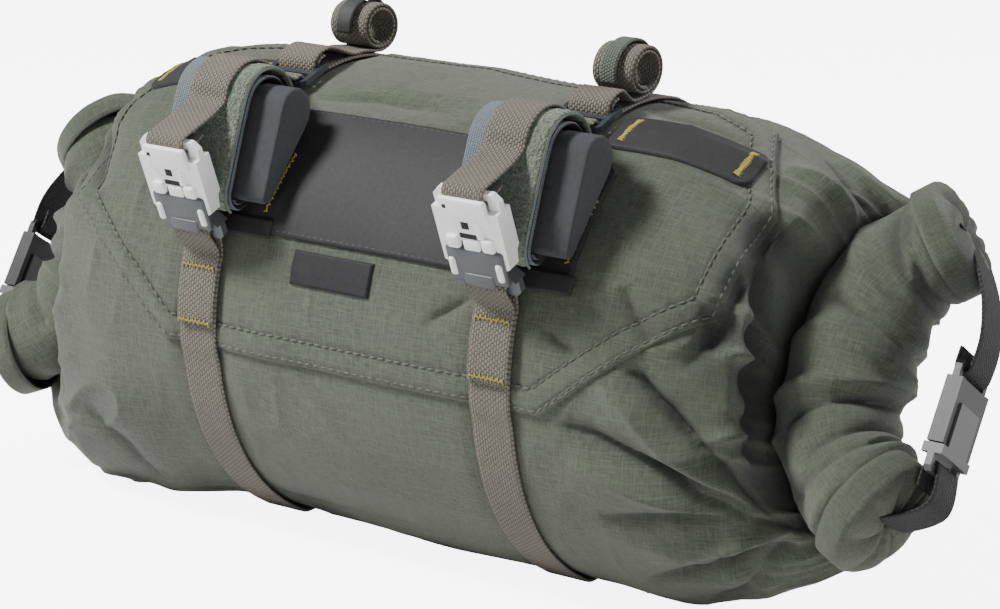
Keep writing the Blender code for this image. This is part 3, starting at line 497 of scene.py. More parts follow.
# Creases: points as (mm along X, degrees), then half width and depth in mm; minus goes in
creases = [
    # gathers that run from the pinch under the right roll
    ([(136, 12), (142, 10), (155, 3), (165, -4), (178, -14), (200, -29)], 3.0, -3.6),
    ([(126, 7), (140, 1), (152, -6), (165, -12), (180, -20), (200, -29)], 6.0, 3.2),
    ([(107, -4), (122, -5), (137, -8), (151, -11), (165, -16), (200, -29)], 3.2, -3.2),
    ([(110, -13), (130, -16), (150, -20), (170, -24), (200, -30)], 5.0, 2.4),
    ([(143, -8), (155, -13), (164, -19), (177, -24), (200, -29)], 2.2, -2.0),
    ([(120, -27), (148, -25), (172, -25), (200, -29)], 4.0, -2.6),
    ([(132, -48), (156, -44), (174, -41), (198, -31)], 3.5, -3.2),
    ([(138, -38), (160, -35), (180, -32), (200, -30)], 4.5, 2.6),
    ([(150, -62), (170, -54), (186, -42), (200, -32)], 4.5, -2.8),
    # valley and hump between the panel and the right roll
    ([(176, 62), (181, 45), (188, 34), (194, 22), (196, 9), (190, -8)], 8.0, -5.5),
    ([(158, 14), (168, 25), (173, 44), (170, 62)], 6.0, -2.6),
    ([(162, 80), (178, 82), (194, 84)], 9.0, 4.0),
    ([(166, 98), (180, 94), (196, 92)], 5.0, -3.0),
    ([(128, 30), (134, 24), (144, 18)], 5.0, -2.0),
    ([(157, 33), (164, 26), (168, 17)], 3.5, -1.6),
    # pulls beside the straps and along the top
    ([(41, 13), (53, 18), (62, 21)], 2.5, -1.5),
    ([(97, 17), (105, 14), (113, 13)], 2.5, -1.5),
    ([(86, 87), (118, 84), (149, 81)], 5.0, -1.6),
    ([(-60, 66), (-30, 70), (10, 68)], 6.0, -1.4),
    # left end
    ([(-200, 30), (-196, 15), (-192, -4), (-188, -19), (-178, -30)], 4.0, -3.6),
    ([(-183, 12), (-184, -11), (-178, -26)], 5.0, -3.0),
    ([(-182, 66), (-165, 43), (-154, 30)], 6.0, -2.6),
    ([(-160, -30), (-140, -39), (-130, -52)], 8.0, -2.2),
    ([(-96, -46), (-58, -54), (15, -46)], 10.0, -1.4),
]


def wrapped(angle):
    return (angle - bag["seam"]) % 360.0


def creaseField(q, angle):
    # Summed depth of all creases, in metres
    v = wrapped(angle) * math.pi / 180.0 * bag["round"]
    around = 2.0 * math.pi * bag["round"]
    total = np.zeros(np.broadcast(q, angle).shape)
    for points, width, depth in creases:
        line = [(x / 1000.0, math.radians(a) * bag["round"]) for x, a in points]
        nearest = np.full(total.shape, 1e9)
        where = np.zeros(total.shape)
        count = len(line) - 1
        for number in range(count):
            (x0, y0), (x1, y1) = line[number], line[number + 1]
            lower = y0 - math.radians(bag["seam"]) * bag["round"]
            dv = (v - lower + around / 2) % around - around / 2
            away, share = segmentDistance(q - x0, dv, (0.0, 0.0), (x1 - x0, y1 - y0))
            closer = away < nearest
            nearest = np.where(closer, away, nearest)
            where = np.where(closer, (number + share) / count, where)
        taper = np.sin(np.clip(where, 0.0, 1.0) * math.pi) ** 0.6 * 0.85 + 0.15
        total += depth / 1000.0 * taper * np.exp(-(nearest / (width / 1000.0)) ** 1.15) * 2.3
    return total


wrinkle = {
    "soft": 0.0022,
    "ridge": 0.0007,
    "ridgeAtEnd": 0.0018,
    "endFrom": 0.105,
    "endSpread": 0.075,
    "gather": 0.0058,
    "gatherFrom": 0.150,
    "gatherSpread": 0.035,
    "belly": 0.0016,
    "bellyHalf": 0.078,
    "strapDip": 0.0010,
    "strapHalf": 0.0135,
}


def relief(q, angle):
    # How far the cloth stands off the plain section at a place
    v = wrapped(angle) / 360.0
    end = smoothStep((np.abs(q) - wrinkle["endFrom"]) / wrinkle["endSpread"])
    soft = (cellNoise(q * 22.0 + 7.3, v * 14.0, 3) - 0.5) * wrinkle["soft"]
    ridge = folded(cellNoise(q * 40.0 + 3.0 * cellNoise(q * 14.0, v * 9.0, 8), v * 26.0, 5))
    soft += (ridge ** 3 - 0.3) * (wrinkle["ridge"] + wrinkle["ridgeAtEnd"] * end)
    gather = folded(cellNoise(q * 7.0, v * 34.0 + 0.8 * cellNoise(q * 20.0, v * 8.0, 12), 21))
    gathered = smoothStep((np.abs(q) - wrinkle["gatherFrom"]) / wrinkle["gatherSpread"])
    soft += (gather ** 2.2 - 0.3) * wrinkle["gather"] * gathered
    belly = wrinkle["belly"] * np.cos(np.clip(q / wrinkle["bellyHalf"], -1.0, 1.0) * math.pi / 2)
    value = soft + belly + creaseField(q, angle)
    for x in strapX.values():
        near = np.exp(-((q - x) / wrinkle["strapHalf"]) ** 4)
        value = value * (1.0 - near) - wrinkle["strapDip"] * near
    return value


def skin(x, angle, lift=0.0):
    # Cloth surface at x and angle, lifted, in the frame
    x = np.asarray(x, float)
    angle = np.asarray(angle, float)
    return sectionPoint(x, angle) + sectionNormal(x, angle) * (relief(x, angle) + lift)[..., None] + base


# rolled mouths: the bow they lie along
mouth = {
    "tilt": 56.25,
    "x": 0.197,
    "bendLower": 64.0,
    "bendUpper": 52.0,
    "radius": 0.0245,
    "wide": 1.14,
    "pitch": 0.0072,
    "turns": 1.75,
    "layer": 0.0050,
    "neckLong": 0.056,
    "neckShort": 0.010,
    "reach": 0.020,
    "sides": {
        # sign, shift across, shift along, half length
        "right": (1, 0.029, -0.001, 0.073),
        "left": (-1, 0.022, -0.012, 0.066),
    },
}
mouthAlong = np.array([0.0, math.cos(math.radians(mouth["tilt"])), math.sin(math.radians(mouth["tilt"]))])
mouthUp = np.array([0.0, -math.sin(math.radians(mouth["tilt"])), math.cos(math.radians(mouth["tilt"]))])
alongX = np.array([1.0, 0.0, 0.0])


def bowBend(share):
    return np.radians(np.where(share > 0.0, mouth["bendUpper"], mouth["bendLower"]))


def bowPoint(side, share):
    out, shift, half = mouth["sides"][side][1:]
    along = half * share
    x = np.full(share.shape, mouth["x"])
    across = np.zeros(share.shape)
    for index in range(24):
        turn = bowBend(share) * smoothStep(np.abs(along * (index + 0.5) / 24) / half)
        x = x + np.sin(turn) * np.abs(along) / 24
        across = across + np.cos(turn) * along / 24
    turn = np.sign(share) * bowBend(share) * smoothStep(np.abs(share))
    point = x[..., None] * alongX + (across + shift)[..., None] * mouthAlong + out * mouthUp
    inward = np.cos(turn)[..., None] * alongX - np.sin(turn)[..., None] * mouthAlong
    return point, inward


def columnShare(column):
    part = np.where(column <= 0.5, 2.0 * column, 2.0 - 2.0 * column)
    return 2.0 * part - 1.0


def stripPoint(side, column, turn, swell=0.0):
    # The flattened mouth, where the roll has turned by an angle in degrees
    share = columnShare(column)
    radius = mouth["radius"] - mouth["layer"] / 2 - mouth["pitch"] * turn / 360.0
    phase = np.radians(turn - 90.0)
    height = mouth["layer"] / 2 * (1.0 - np.abs(share) ** 10) ** 0.5 * np.where(column < 0.5, -1.0, 1.0)
    point, inward = bowPoint(side, share)
    out = inward * np.cos(phase)[..., None] * mouth["wide"] + mouthUp * np.sin(phase)[..., None]
    return point + out * (radius + height + swell)[..., None]


# bag body
body = {
    "rows": 236,
    "columns": 300,
    "frontShare": 0.66,
    "neckRows": 40,
    "neckLength": 0.052,
    "ground": 0.0004,
    # the next two set the painted shade in the folds: the depth where it starts, and the depth over which
    # it grows to full
    "foldShadeFrom": 0.0012,
    "foldShadeSpan": 0.0045,
}


def bodyGrid():
    # two thirds of the columns on the front half, rows closer together towards the ends
    place = np.arange(body["columns"]) / body["columns"]
    column = np.sort(np.interp(place, [0.0, body["frontShare"], 1.0], [-0.05, 0.45, 0.95]) % 1.0)[None, :]
    angle = bag["seam"] + 360.0 * column
    spreadOut = np.linspace(-1.0, 1.0, body["rows"])
    x = (bag["shoulder"] * (spreadOut + 0.12 * np.sin(math.pi * spreadOut)))[:, None]
    middle = sectionPoint(x, angle)
    parts = []
    places = []
    for side in ("left", "right"):
        sign = mouth["sides"][side][0]
        share = np.linspace(0.0, 1.0, body["neckRows"] + 1)[1:, None, None]
        start = sectionPoint(np.full(column.shape, sign * bag["shoulder"]), angle)[0]
        start = start * np.array([sign, 1.0, 1.0])
        end = stripPoint(side, column[0], np.zeros(column.shape[1]))
        along = columnShare(column[0])
        inward = bowPoint(side, along)[1]
        slope = bag["drop"] * bag["power"] / (bag["shoulder"] - bag["straight"])
        radial = unit(start * np.array([0.0, 1.0, 1.0]))
        leave = unit(alongX - radial * slope)
        longer = mouth["neckLong"] - mouth["neckShort"]
        reach = (mouth["neckShort"] + longer * (1.0 - along ** 2))[:, None]
        first = start + leave * mouth["reach"]
        second = end - inward * reach
        keep = 1.0 - share
        neck = (start * keep ** 3 + first * 3 * keep ** 2 * share
                + second * 3 * keep * share ** 2 + end * share ** 3)
        neck = neck * np.array([sign, 1.0, 1.0])
        q = sign * (bag["shoulder"] + body["neckLength"] * share[:, :, 0])
        if sign < 0:
            neck = neck[::-1]
            q = q[::-1]
        parts.append(neck)
        places.append(q)
    points = np.concatenate([parts[0], middle, parts[1]])
    q = np.concatenate([places[0], x, places[1]])
    return points, np.broadcast_to(q, points.shape[:2]), np.broadcast_to(angle, points.shape[:2])


def gridNormals(points):
    along = np.gradient(points, axis=0)
    around = (np.roll(points, -1, axis=1) - np.roll(points, 1, axis=1)) / 2
    return unit(np.cross(along, around))


def makeBody():
    points, q, angle = bodyGrid()
    normals = gridNormals(points)
    height = relief(q, angle)
    # painted shade weight from how far the cloth lies below its plain section
    fold = (-height - body["foldShadeFrom"]) / body["foldShadeSpan"]
    beyond = np.maximum(0.0, (np.abs(q) - bag["shoulder"]) / body["neckLength"])
    height = height * (1.0 - smoothStep((beyond - 0.35) / 0.65))
    points = points + normals * height[..., None] + base
    points[..., 2] = np.maximum(points[..., 2], body["ground"])
    closedAngle = np.concatenate([angle, angle[:, :1] + 360.0], axis=1)
    closedQ = np.concatenate([q, q[:, :1]], axis=1)
    uvs = np.stack([closedQ, np.radians(closedAngle) * bag["round"]], axis=-1)
    obj = addGrid("bagClothBody", points, uvs, look["bag"], closed=True, capped=True, fold=fold)
    turnedOut(obj)
    settle(obj, "bag_cloth", "bag_body")
    return obj


makeBody()
print("body made")


# rolled ends
rolls = {
    "step": 6.0,
    "columns": 224,
    "wrinkle": 0.0015,
    "taper": 0.0035,
    "cap": 0.0045,
    "sleeve": 0.010,
    "pleats": 9,
    "clothRadius": 0.0235,
    # depth over which the painted shade in the roll's folds grows to full
    "foldShadeSpan": 0.0035,
    "swell": 0.003,
    "taperFrom": 0.80,
    "endLap": 0.0012,
    "endWall": 0.0008,
    "pleatDepth": 0.0030,
    "folds": {
        # share along the mouth, turn in degrees: points, half width and depth in mm
        "right": [
            ([(-0.15, 60), (-0.28, 150), (-0.40, 235)], 5.0, -4.0),
            ([(0.35, 90), (0.45, 170), (0.62, 240)], 5.0, 2.2),
            ([(0.55, 60), (0.66, 150), (0.80, 230)], 4.0, -2.5),
            ([(-0.62, 30), (-0.70, 130), (-0.66, 250)], 5.0, -2.5),
            ([(0.02, 10), (-0.08, 100), (-0.20, 190)], 4.0, 2.2),
            ([(0.22, 10), (0.16, 100), (0.30, 200)], 3.5, -2.4),
            ([(-0.45, 0), (-0.50, 80), (-0.56, 190)], 3.5, -2.0),
            ([(0.76, 30), (0.70, 120), (0.84, 200)], 3.0, -2.0),
        ],
        "left": [
            ([(-0.10, 40), (-0.22, 150), (-0.30, 240)], 5.0, -3.0),
            ([(0.45, 40), (0.50, 150), (0.62, 240)], 5.0, -2.5),
            ([(-0.45, 0), (-0.52, 90), (-0.60, 200)], 3.5, -2.4),
            ([(0.20, 10), (0.14, 110), (0.24, 220)], 4.0, 2.0),
        ],
    },
}


def rollFolds(side, share, turn):
    half = mouth["sides"][side][3]
    u = share * half
    v = np.radians(turn) * mouth["radius"]
    total = np.zeros(np.broadcast(u, v).shape)
    for points, width, depth in rolls["folds"][side]:
        line = [(a * half, math.radians(b) * mouth["radius"]) for a, b in points]
        nearest = np.full(total.shape, 1e9)
        for start, end in zip(line, line[1:]):
            nearest = np.minimum(nearest, segmentDistance(u, v, start, end)[0])
        total += depth / 1000.0 * np.exp(-(nearest / (width / 1000.0)) ** 1.15) * 1.4
    return total


def makeRoll(side):
    sign = mouth["sides"][side][0]
    turns = np.arange(2.0, mouth["turns"] * 360.0 + 0.1, rolls["step"])[:, None]
    column = (np.arange(rolls["columns"]) / rolls["columns"])[None, :]
    share = columnShare(column) + turns * 0.0
    turnGrid = turns + column * 0.0
    outer = np.where(column > 0.5, 1.0, 0.0) * smoothStep((360.0 - turnGrid) / 90.0)
    seed = 31 if sign > 0 else 37
    warp = 1.1 * cellNoise(share * 3, turnGrid / 60.0, seed + 2)
    noise = cellNoise(share * 5.5 + warp, turnGrid / 110.0, seed)
    swell = folded(noise) ** 2.5 * rolls["wrinkle"] * 2.0 - rolls["wrinkle"] * 0.5
    swell = swell + (cellNoise(share * 3.0, turnGrid / 90.0, seed + 5) - 0.4) * rolls["swell"]
    swell = (swell + rollFolds(side, share, turnGrid)) * outer * (1.0 - np.abs(share) ** 8)
    tapered = smoothStep((np.abs(share) - rolls["taperFrom"]) / (1.0 - rolls["taperFrom"]))
    swell = swell - rolls["taper"] * tapered
    columnGrid = column + turnGrid * 0.0
    points = stripPoint(side, columnGrid, turnGrid, swell) * np.array([sign, 1.0, 1.0]) + base
    closedColumn = np.concatenate([column, column[:, :1] + 1.0], axis=1)
    uvs = np.stack(np.broadcast_arrays(closedColumn * mouth["sides"][side][3] * 4.0,
                                       np.radians(turns) * rolls["clothRadius"]), axis=-1)
    # painted shade weight in the roll's folds, on its outer layer only
    fold = -(swell + body["foldShadeFrom"]) / rolls["foldShadeSpan"] * outer * (1.0 - np.abs(share) ** 8)
    obj = addGrid("rolledCloth_" + side, points, uvs, look["bag"], closed=True, capped=True, fold=fold)
    turnedOut(obj)
    settle(obj, "bag_cloth", "rolled_mouth_" + side)
    return obj


def makeRollEnd(side, share):
    # the roll's end is folded over, so no spiral of cloth shows
    sign = mouth["sides"][side][0]
    point, inward = bowPoint(side, np.array([share]))
    point, inward = point[0], inward[0]
    tangent = unit(np.cross(inward, mouthUp))
    if (tangent @ mouthAlong) * share < 0:
        tangent = -tangent
    reach = mouth["radius"] - rolls["taper"] + rolls["endLap"]
    turn = np.linspace(0.0, 2.0 * math.pi, 96, endpoint=False)[None, :]
    rows = np.array([(1.0, -1.0), (1.0, -0.7), (1.0, -0.35), (0.995, 0.0), (0.96, 0.3), (0.88, 0.62),
                     (0.74, 0.85), (0.55, 0.97), (0.34, 0.90), (0.18, 0.72), (0.07, 0.50)])
    size = rows[:, :1]
    depth = np.where(rows[:, 1:] < 0.0, rows[:, 1:] * rolls["sleeve"], rows[:, 1:] * rolls["cap"])
    seed = 80 + int(share) + 3 * sign
    fold = np.abs(np.sin(turn * rolls["pleats"] / 2 + 1.7 * np.sin(turn + seed) + size * 2.0)) ** 0.7
    pleated = smoothStep((1.02 - size) / 0.4) * smoothStep(size / 0.4)
    depth = depth + (fold - 0.6) * rolls["pleatDepth"] * pleated
    around = size * (1.0 + (cellNoise(turn * 2.2 + seed, size * 3.0, 55) - 0.5) * 0.05)
    radius = around * reach
    flatPlace = inward * (np.cos(turn) * radius * mouth["wide"])[..., None]
    flatPlace = flatPlace + mouthUp * (np.sin(turn) * radius)[..., None]
    points = point + flatPlace + tangent * (depth + turn * 0.0)[..., None]
    points = points * np.array([sign, 1.0, 1.0]) + base
    uvs = np.stack(np.broadcast_arrays(np.linspace(0.0, 1.0, 97)[None, :] * reach * 6.28,
                                       depth[:, :1] * 2 - size * reach), axis=-1)
    name = "rollEnd_" + side + ("Upper" if share > 0 else "Lower")
    obj = addGrid(name, points, uvs, look["bag"], closed=True)
    solid = obj.modifiers.new("wall", "SOLIDIFY")
    solid.thickness = rolls["endWall"]
    solid.offset = 1.0
    applyAll(obj)
    turnedOut(obj)
    settle(obj, "bag_cloth")


for side in ("right", "left"):
    makeRoll(side)
    for share in (-1.0, 1.0):
        makeRollEnd(side, share)
print("rolled ends made")


# flat pieces sewn on the skin
def flat(x, angle):
    return (x, math.radians(angle) * bag["round"])


def outlineHalf(outline, half, angle):
    return half * np.interp(angle, [row[0] for row in outline], [row[1] for row in outline])


def outlinePolygon(outline, half, center=0.0):
    # Corners in metres on the unrolled skin, counterclockwise from the lower left
    right = [flat(center + half * share, angle) for angle, share in outline]
    left = [flat(center - half * share, angle) for angle, share in reversed(outline)]
    return right + left


def offsetPolygon(polygon, distance):
    # Polygon moved inwards, its edges kept parallel
    moved = []
    count = len(polygon)
    for index in range(count):
        before = np.array(polygon[index - 1])
        here = np.array(polygon[index])
        after = np.array(polygon[(index + 1) % count])
        one = (here - before) / np.linalg.norm(here - before)
        two = (after - here) / np.linalg.norm(after - here)
        normalOne = np.array([-one[1], one[0]])
        normalTwo = np.array([-two[1], two[0]])
        matrix = np.array([normalOne, normalTwo])
        target = np.array([normalOne @ here + distance, normalTwo @ here + distance])
        moved.append(tuple(np.linalg.solve(matrix, target)))
    return moved


def polygonDistance(x, v, polygon):
    nearest = np.full(np.broadcast(x, v).shape, 1e9)
    for index in range(len(polygon)):
        nearest = np.minimum(nearest, segmentDistance(x, v, polygon[index - 1], polygon[index])[0])
    return nearest


def addStitches(name, starts, ends, normals, radius, material, slotName):
    # Small raised thread lengths, each sunk into the cloth at both ends
    starts = np.asarray(starts)
    ends = np.asarray(ends)
    normals = unit(np.asarray(normals))
    along = ends - starts
    across = unit(np.cross(along, normals))
    stations = ((0.0, -0.5, 0.35), (0.16, 0.25, 0.85), (0.5, 0.6, 1.0),
                (0.84, 0.25, 0.85), (1.0, -0.5, 0.35))
    rings = []
    for share, rise, size in stations:
        center = starts + along * share + normals * radius * rise
        for corner in range(6):
            turn = corner * math.pi / 3
            rings.append(center + (across * math.cos(turn) + normals * math.sin(turn)) * radius * size)
    points = np.stack(rings, axis=1)
    faces = []
    for ring in range(4):
        for corner in range(6):
            near = (corner + 1) % 6
            faces.append((ring * 6 + corner, ring * 6 + near, ring * 6 + 6 + near, ring * 6 + 6 + corner))
    caps = [(5, 4, 3, 2, 1, 0), (24, 25, 26, 27, 28, 29)]
    shape = []
    for number in range(len(starts)):
        shift = number * 30
        shape += [tuple(value + shift for value in face) for face in faces + caps]
    return settle(addMesh(name, points, shape, material), slotName)


def runStitches(polyline, pitch, length):
    # Start and end places of stitches along a line on the unrolled skin
    line = np.asarray(polyline, float)
    steps = np.linalg.norm(np.diff(line, axis=0), axis=1)
    far = np.concatenate([[0.0], np.cumsum(steps)])
    count = max(1, int(far[-1] / pitch))
    at = (np.arange(count) + 0.5) * far[-1] / count
    ends = []
    for shift in (-length / 2, length / 2):
        ends.append(np.stack([np.interp(at + shift, far, line[:, axis]) for axis in (0, 1)], axis=-1))
    return ends


def skinStitches(name, lines, lift, pitch, length, radius, material, slotName, lean=0.0):
    starts, ends, normals = [], [], []
    for line in lines:
        one, two = runStitches(line, pitch, length)
        if lean:
            way = unit(two - one)
            side = np.stack([-way[:, 1], way[:, 0]], axis=-1)
            one = one - side * lean
            two = two + side * lean
        for places, kept in ((one, starts), (two, ends)):
            angle = np.degrees(places[:, 1] / bag["round"])
            kept.append(skin(places[:, 0], angle, lift))
        middle = (one + two) / 2
        normals.append(sectionNormal(middle[:, 0], np.degrees(middle[:, 1] / bag["round"])))
    return addStitches(name, np.concatenate(starts), np.concatenate(ends), np.concatenate(normals),
                       radius, material, slotName)


def zigzag(start, end, width, count):
    # Bar tack: close zigzag from start to end on the unrolled skin
    start = np.array(start)
    end = np.array(end)
    way = (end - start) / np.linalg.norm(end - start)
    side = np.array([-way[1], way[0]]) * width / 2
    return np.array([start + (end - start) * index / count + side * (1 if index % 2 else -1)
                     for index in range(count + 1)])


panel = {
    "half": 0.172,
    "outline": ((-3.0, 0.57), (28.0, 0.97), (62.0, 1.00), (91.0, 0.86), (104.0, 0.48)),
    "rows": 168,
    "columns": 280,
    "under": 0.0003,
    "thick": 0.0015,
    "hem": 0.0095,
    "hemDrop": 0.0006,
    "rowsOfStitch": (0.0022, 0.0108),
    "rowDip": 0.0005,
    "between": 0.0065,
    "pucker": 0.0007,
    "seamShade": 0.16,
    "pitch": 0.0042,
    "stitch": 0.0031,
    "thread": 0.00042,
}


def makePanel():
    low, high = panel["outline"][0][0], panel["outline"][-1][0]
    angle = np.linspace(low, high, panel["rows"])[:, None]
    share = np.linspace(-1.0, 1.0, panel["columns"])[None, :]
    x = share * outlineHalf(panel["outline"], panel["half"], angle)
    angle = angle + share * 0.0
    v = np.radians(angle) * bag["round"]
    polygon = outlinePolygon(panel["outline"], panel["half"])
    away = polygonDistance(x, v, polygon)
    lift = panel["under"] + panel["thick"] * smoothStep(away / 0.0010)
    lift = lift - panel["hemDrop"] * smoothStep((away - panel["hem"]) / 0.0012)
    for row in panel["rowsOfStitch"]:
        lift = lift - panel["rowDip"] * np.exp(-((away - row) / 0.0009) ** 2)
    between = np.exp(-((away - panel["between"]) / 0.0030) ** 2)
    lift = lift + between * panel["pucker"] * cellNoise(x * 130.0, v * 130.0, 44)
    points = skin(x, angle, lift)
    # painted shade: the folds and a band along the seam between the stitch rows are darkened in the colour
    seamShadeBand = np.exp(-((away - panel["between"]) / 0.0052) ** 4) * panel["seamShade"]
    fold = (-relief(x, angle) - body["foldShadeFrom"]) / body["foldShadeSpan"] + seamShadeBand
    obj = addGrid("reinforcementCloth", points, np.stack([x, v], axis=-1), look["bag"], fold=fold)
    settle(obj, "bag_cloth", "reinforcement_panel")
    lines = []
    for row in panel["rowsOfStitch"]:
        inner = offsetPolygon(polygon, row)
        lines.append(inner + [inner[0]])
    skinStitches("panelStitches", lines, panel["under"] + panel["thick"] - 0.0004, panel["pitch"],
                 panel["stitch"], panel["thread"], look["thread"], "bag_cloth")


makePanel()

label = {
    "half": 0.106,
    "outline": ((26.0, 0.92), (30.0, 1.00), (57.0, 1.00), (61.0, 0.93)),
    "under": 0.0018,
    "thick": 0.0013,
}


def layFlat(name, outline, half, center, under, thick, rows, columns, material, roundCorner=0.0):
    # A patch on the skin with a firm edge
    low, high = outline[0][0], outline[-1][0]
    angle = np.linspace(low, high, rows)[:, None]
    share = np.linspace(-1.0, 1.0, columns)[None, :]
    reach = outlineHalf(outline, half, angle)
    if roundCorner:
        edge = np.minimum(angle - low, high - angle) * math.pi / 180.0 * bag["round"]
        inside = np.maximum(0.0, roundCorner - edge)
        reach = reach - roundCorner + np.sqrt(np.maximum(0.0, roundCorner ** 2 - inside ** 2))
    x = center + share * reach
    angle = angle + share * 0.0
    v = np.radians(angle) * bag["round"]
    side = np.minimum(reach - np.abs(x - center), np.minimum(v - v.min(), v.max() - v))
    lift = under + thick * smoothStep(side / 0.0006)
    return addGrid(name, skin(x, angle, lift), np.stack([x, v], axis=-1), material)


piece = layFlat("labelPanel", label["outline"], label["half"], 0.0, label["under"] - 0.0015,
                label["thick"] + 0.0015, 72, 260, look["coated"])
settle(piece, "coated_cloth", "label_panel")
labelEdge = offsetPolygon(outlinePolygon(label["outline"], label["half"]), 0.0022)
skinStitches("labelStitches", [labelEdge + [labelEdge[0]]], label["under"] + label["thick"] - 0.0003,
             0.0034, 0.0026, 0.00032, look["darkThread"], "coated_cloth")

sideLabel = {"x": -0.010, "half": 0.021, "low": 16.0, "high": 24.0, "under": 0.0014, "thick": 0.0012}
piece = layFlat("sideLabel", ((sideLabel["low"], 1.0), (sideLabel["high"], 1.0)), sideLabel["half"],
                sideLabel["x"], sideLabel["under"], sideLabel["thick"], 24, 60, look["black"])
settle(piece, "black_cloth", "side_label")

tab = {"x": 0.124, "half": 0.033, "angle": 71.5, "width": 0.024, "under": 0.0014, "thick": 0.0018,
       "corner": 0.006, "tackInset": 0.0065, "tackEnd": 2.2}
tabSpread = math.degrees(tab["width"] / 2 / bag["round"])
for side, center in (("left", -tab["x"]), ("right", tab["x"])):
    outline = ((tab["angle"] - tabSpread, 1.0), (tab["angle"] + tabSpread, 1.0))
    piece = layFlat("accessoryTab_" + side, outline, tab["half"], center, tab["under"], tab["thick"],
                    44, 90, look["coated"], roundCorner=tab["corner"])
    settle(piece, "coated_cloth", "accessory_tab_" + side)
    tacks = []
    for end in (-1, 1):
        x = center + end * (tab["half"] - tab["tackInset"])
        low = flat(x, tab["angle"] - tabSpread + tab["tackEnd"])
        high = flat(x, tab["angle"] + tabSpread - tab["tackEnd"])
        tacks.append(zigzag(low, high, 0.0036, 26))
    skinStitches("tabTacks_" + side, tacks, tab["under"] + tab["thick"] + 0.0001, 0.0019, 0.0024, 0.00036,
                 look["yellow"], "coated_cloth")
print("panels made")

# webbing
webbing = {
    "width": 0.020,
    "thick": 0.0015,
    "gap": 0.0003,
    "doubledFrom": 3.0,
    "rim": 3.0,
    "sewnBack": 0.010,
}
layerStep = webbing["thick"] + webbing["gap"]
strapBare = webbing["gap"] + webbing["thick"] / 2
strapMid = 0.0013 + webbing["gap"] + webbing["thick"] / 2
labelTop = 0.0013 + webbing["gap"] + 0.0012
panelEnds = (-3.0, 104.0)
buckle = {"angle": 24.0, "upper": 0.024, "lower": 0.025, "bar": 0.0030, "lean": 44.0, "standoff": 0.0105}
lock = {"angle": 72.5, "length": 0.0200, "bar": 0.0026, "middle": 0.0075}
roll = {"angle": 43.2, "straight": 0.0195, "settle": 0.0008, "half": 0.0100, "low": 0.0030,
        "width": 0.038, "thick": 0.0017, "pitch": 0.0022, "turns": 1.5, "pile": 0.0018,
        "pileX": 0.00425, "pileWidth": 0.0285, "edgeX": 0.0188, "edgeWidth": 0.0012,
        "faceX": -0.0145, "faceWidth": 0.0090}
pad = {"angles": (25.0, 27.25, 29.5), "lift": 0.001, "thick": 0.0020, "x": 0.0075, "width": 0.053}
keeper = {"clear": 0.0007, "thick": 0.0014, "width": 0.008, "start": 35.0, "end": 290.0}
coil = {"radius": 0.0125, "pitch": 0.0021, "turns": 2.0, "rest": 0.0002, "middle": 90.0, "squash": 0.14}
tack = {"pitch": 0.0021, "length": 0.0027, "radius": 0.00034, "half": 0.0088, "lift": 0.0013}


def flatSkin(angle, lift):
    turn = math.radians(angle)
    y = -bag["halfDepth"] * math.cos(turn)
    z = bag["halfHeight"] * math.sin(turn)
    normal = Vector((-math.cos(turn) / bag["halfDepth"], math.sin(turn) / bag["halfHeight"])).normalized()
    if z < -bag["flat"]:
        z = -bag["flat"]
        normal = Vector((0.0, -1.0))
    return Vector((y, z)) + normal * lift


def flatFrame(angle):
    turn = math.radians(angle)
    out = Vector((-math.cos(turn) / bag["halfDepth"], math.sin(turn) / bag["halfHeight"])).normalized()
    return out, Vector((out.y, -out.x))


def arcPath(center, radius, start, end, steps):
    points = []
    for step in range(steps + 1):
        turn = math.radians(start + (end - start) * step / steps)
        points.append(center + Vector((math.cos(turn), math.sin(turn))) * radius)
    return points


def loopRadius(bar, thick=webbing["thick"]):
    # Webbing clear of the bar's corners, with room for the flats between the loop's points
    return (bar * 0.7072 + webbing["gap"] + thick / 2) / math.cos(math.radians(15.0))


def buckleFrame():
    out, along = flatFrame(buckle["angle"])
    turn = math.radians(buckle["lean"])
    lean = along * math.cos(turn) + out * math.sin(turn)
    outward = Vector((-lean.y, lean.x))
    low = flatSkin(buckle["angle"], buckle["standoff"])
    length = buckle["upper"] + buckle["lower"] - buckle["bar"] * 1.5
    return low, low + lean * length, outward, lean


def rollWrap():
    return webbing["gap"] * 2 + roll["thick"] + roll["pitch"] * roll["turns"]


def rollFrame():
    out, along = flatFrame(roll["angle"])
    place = flatSkin(roll["angle"], labelTop + webbing["gap"] + rollWrap() - roll["settle"])
    upper = place + along * roll["straight"] + out * roll["half"]
    lower = place - along * roll["straight"] + out * roll["low"]
    return upper, lower, out, along


def lockFrame():
    out, along = flatFrame(lock["angle"])
    return flatSkin(lock["angle"], strapMid + loopRadius(lock["bar"])), out, along


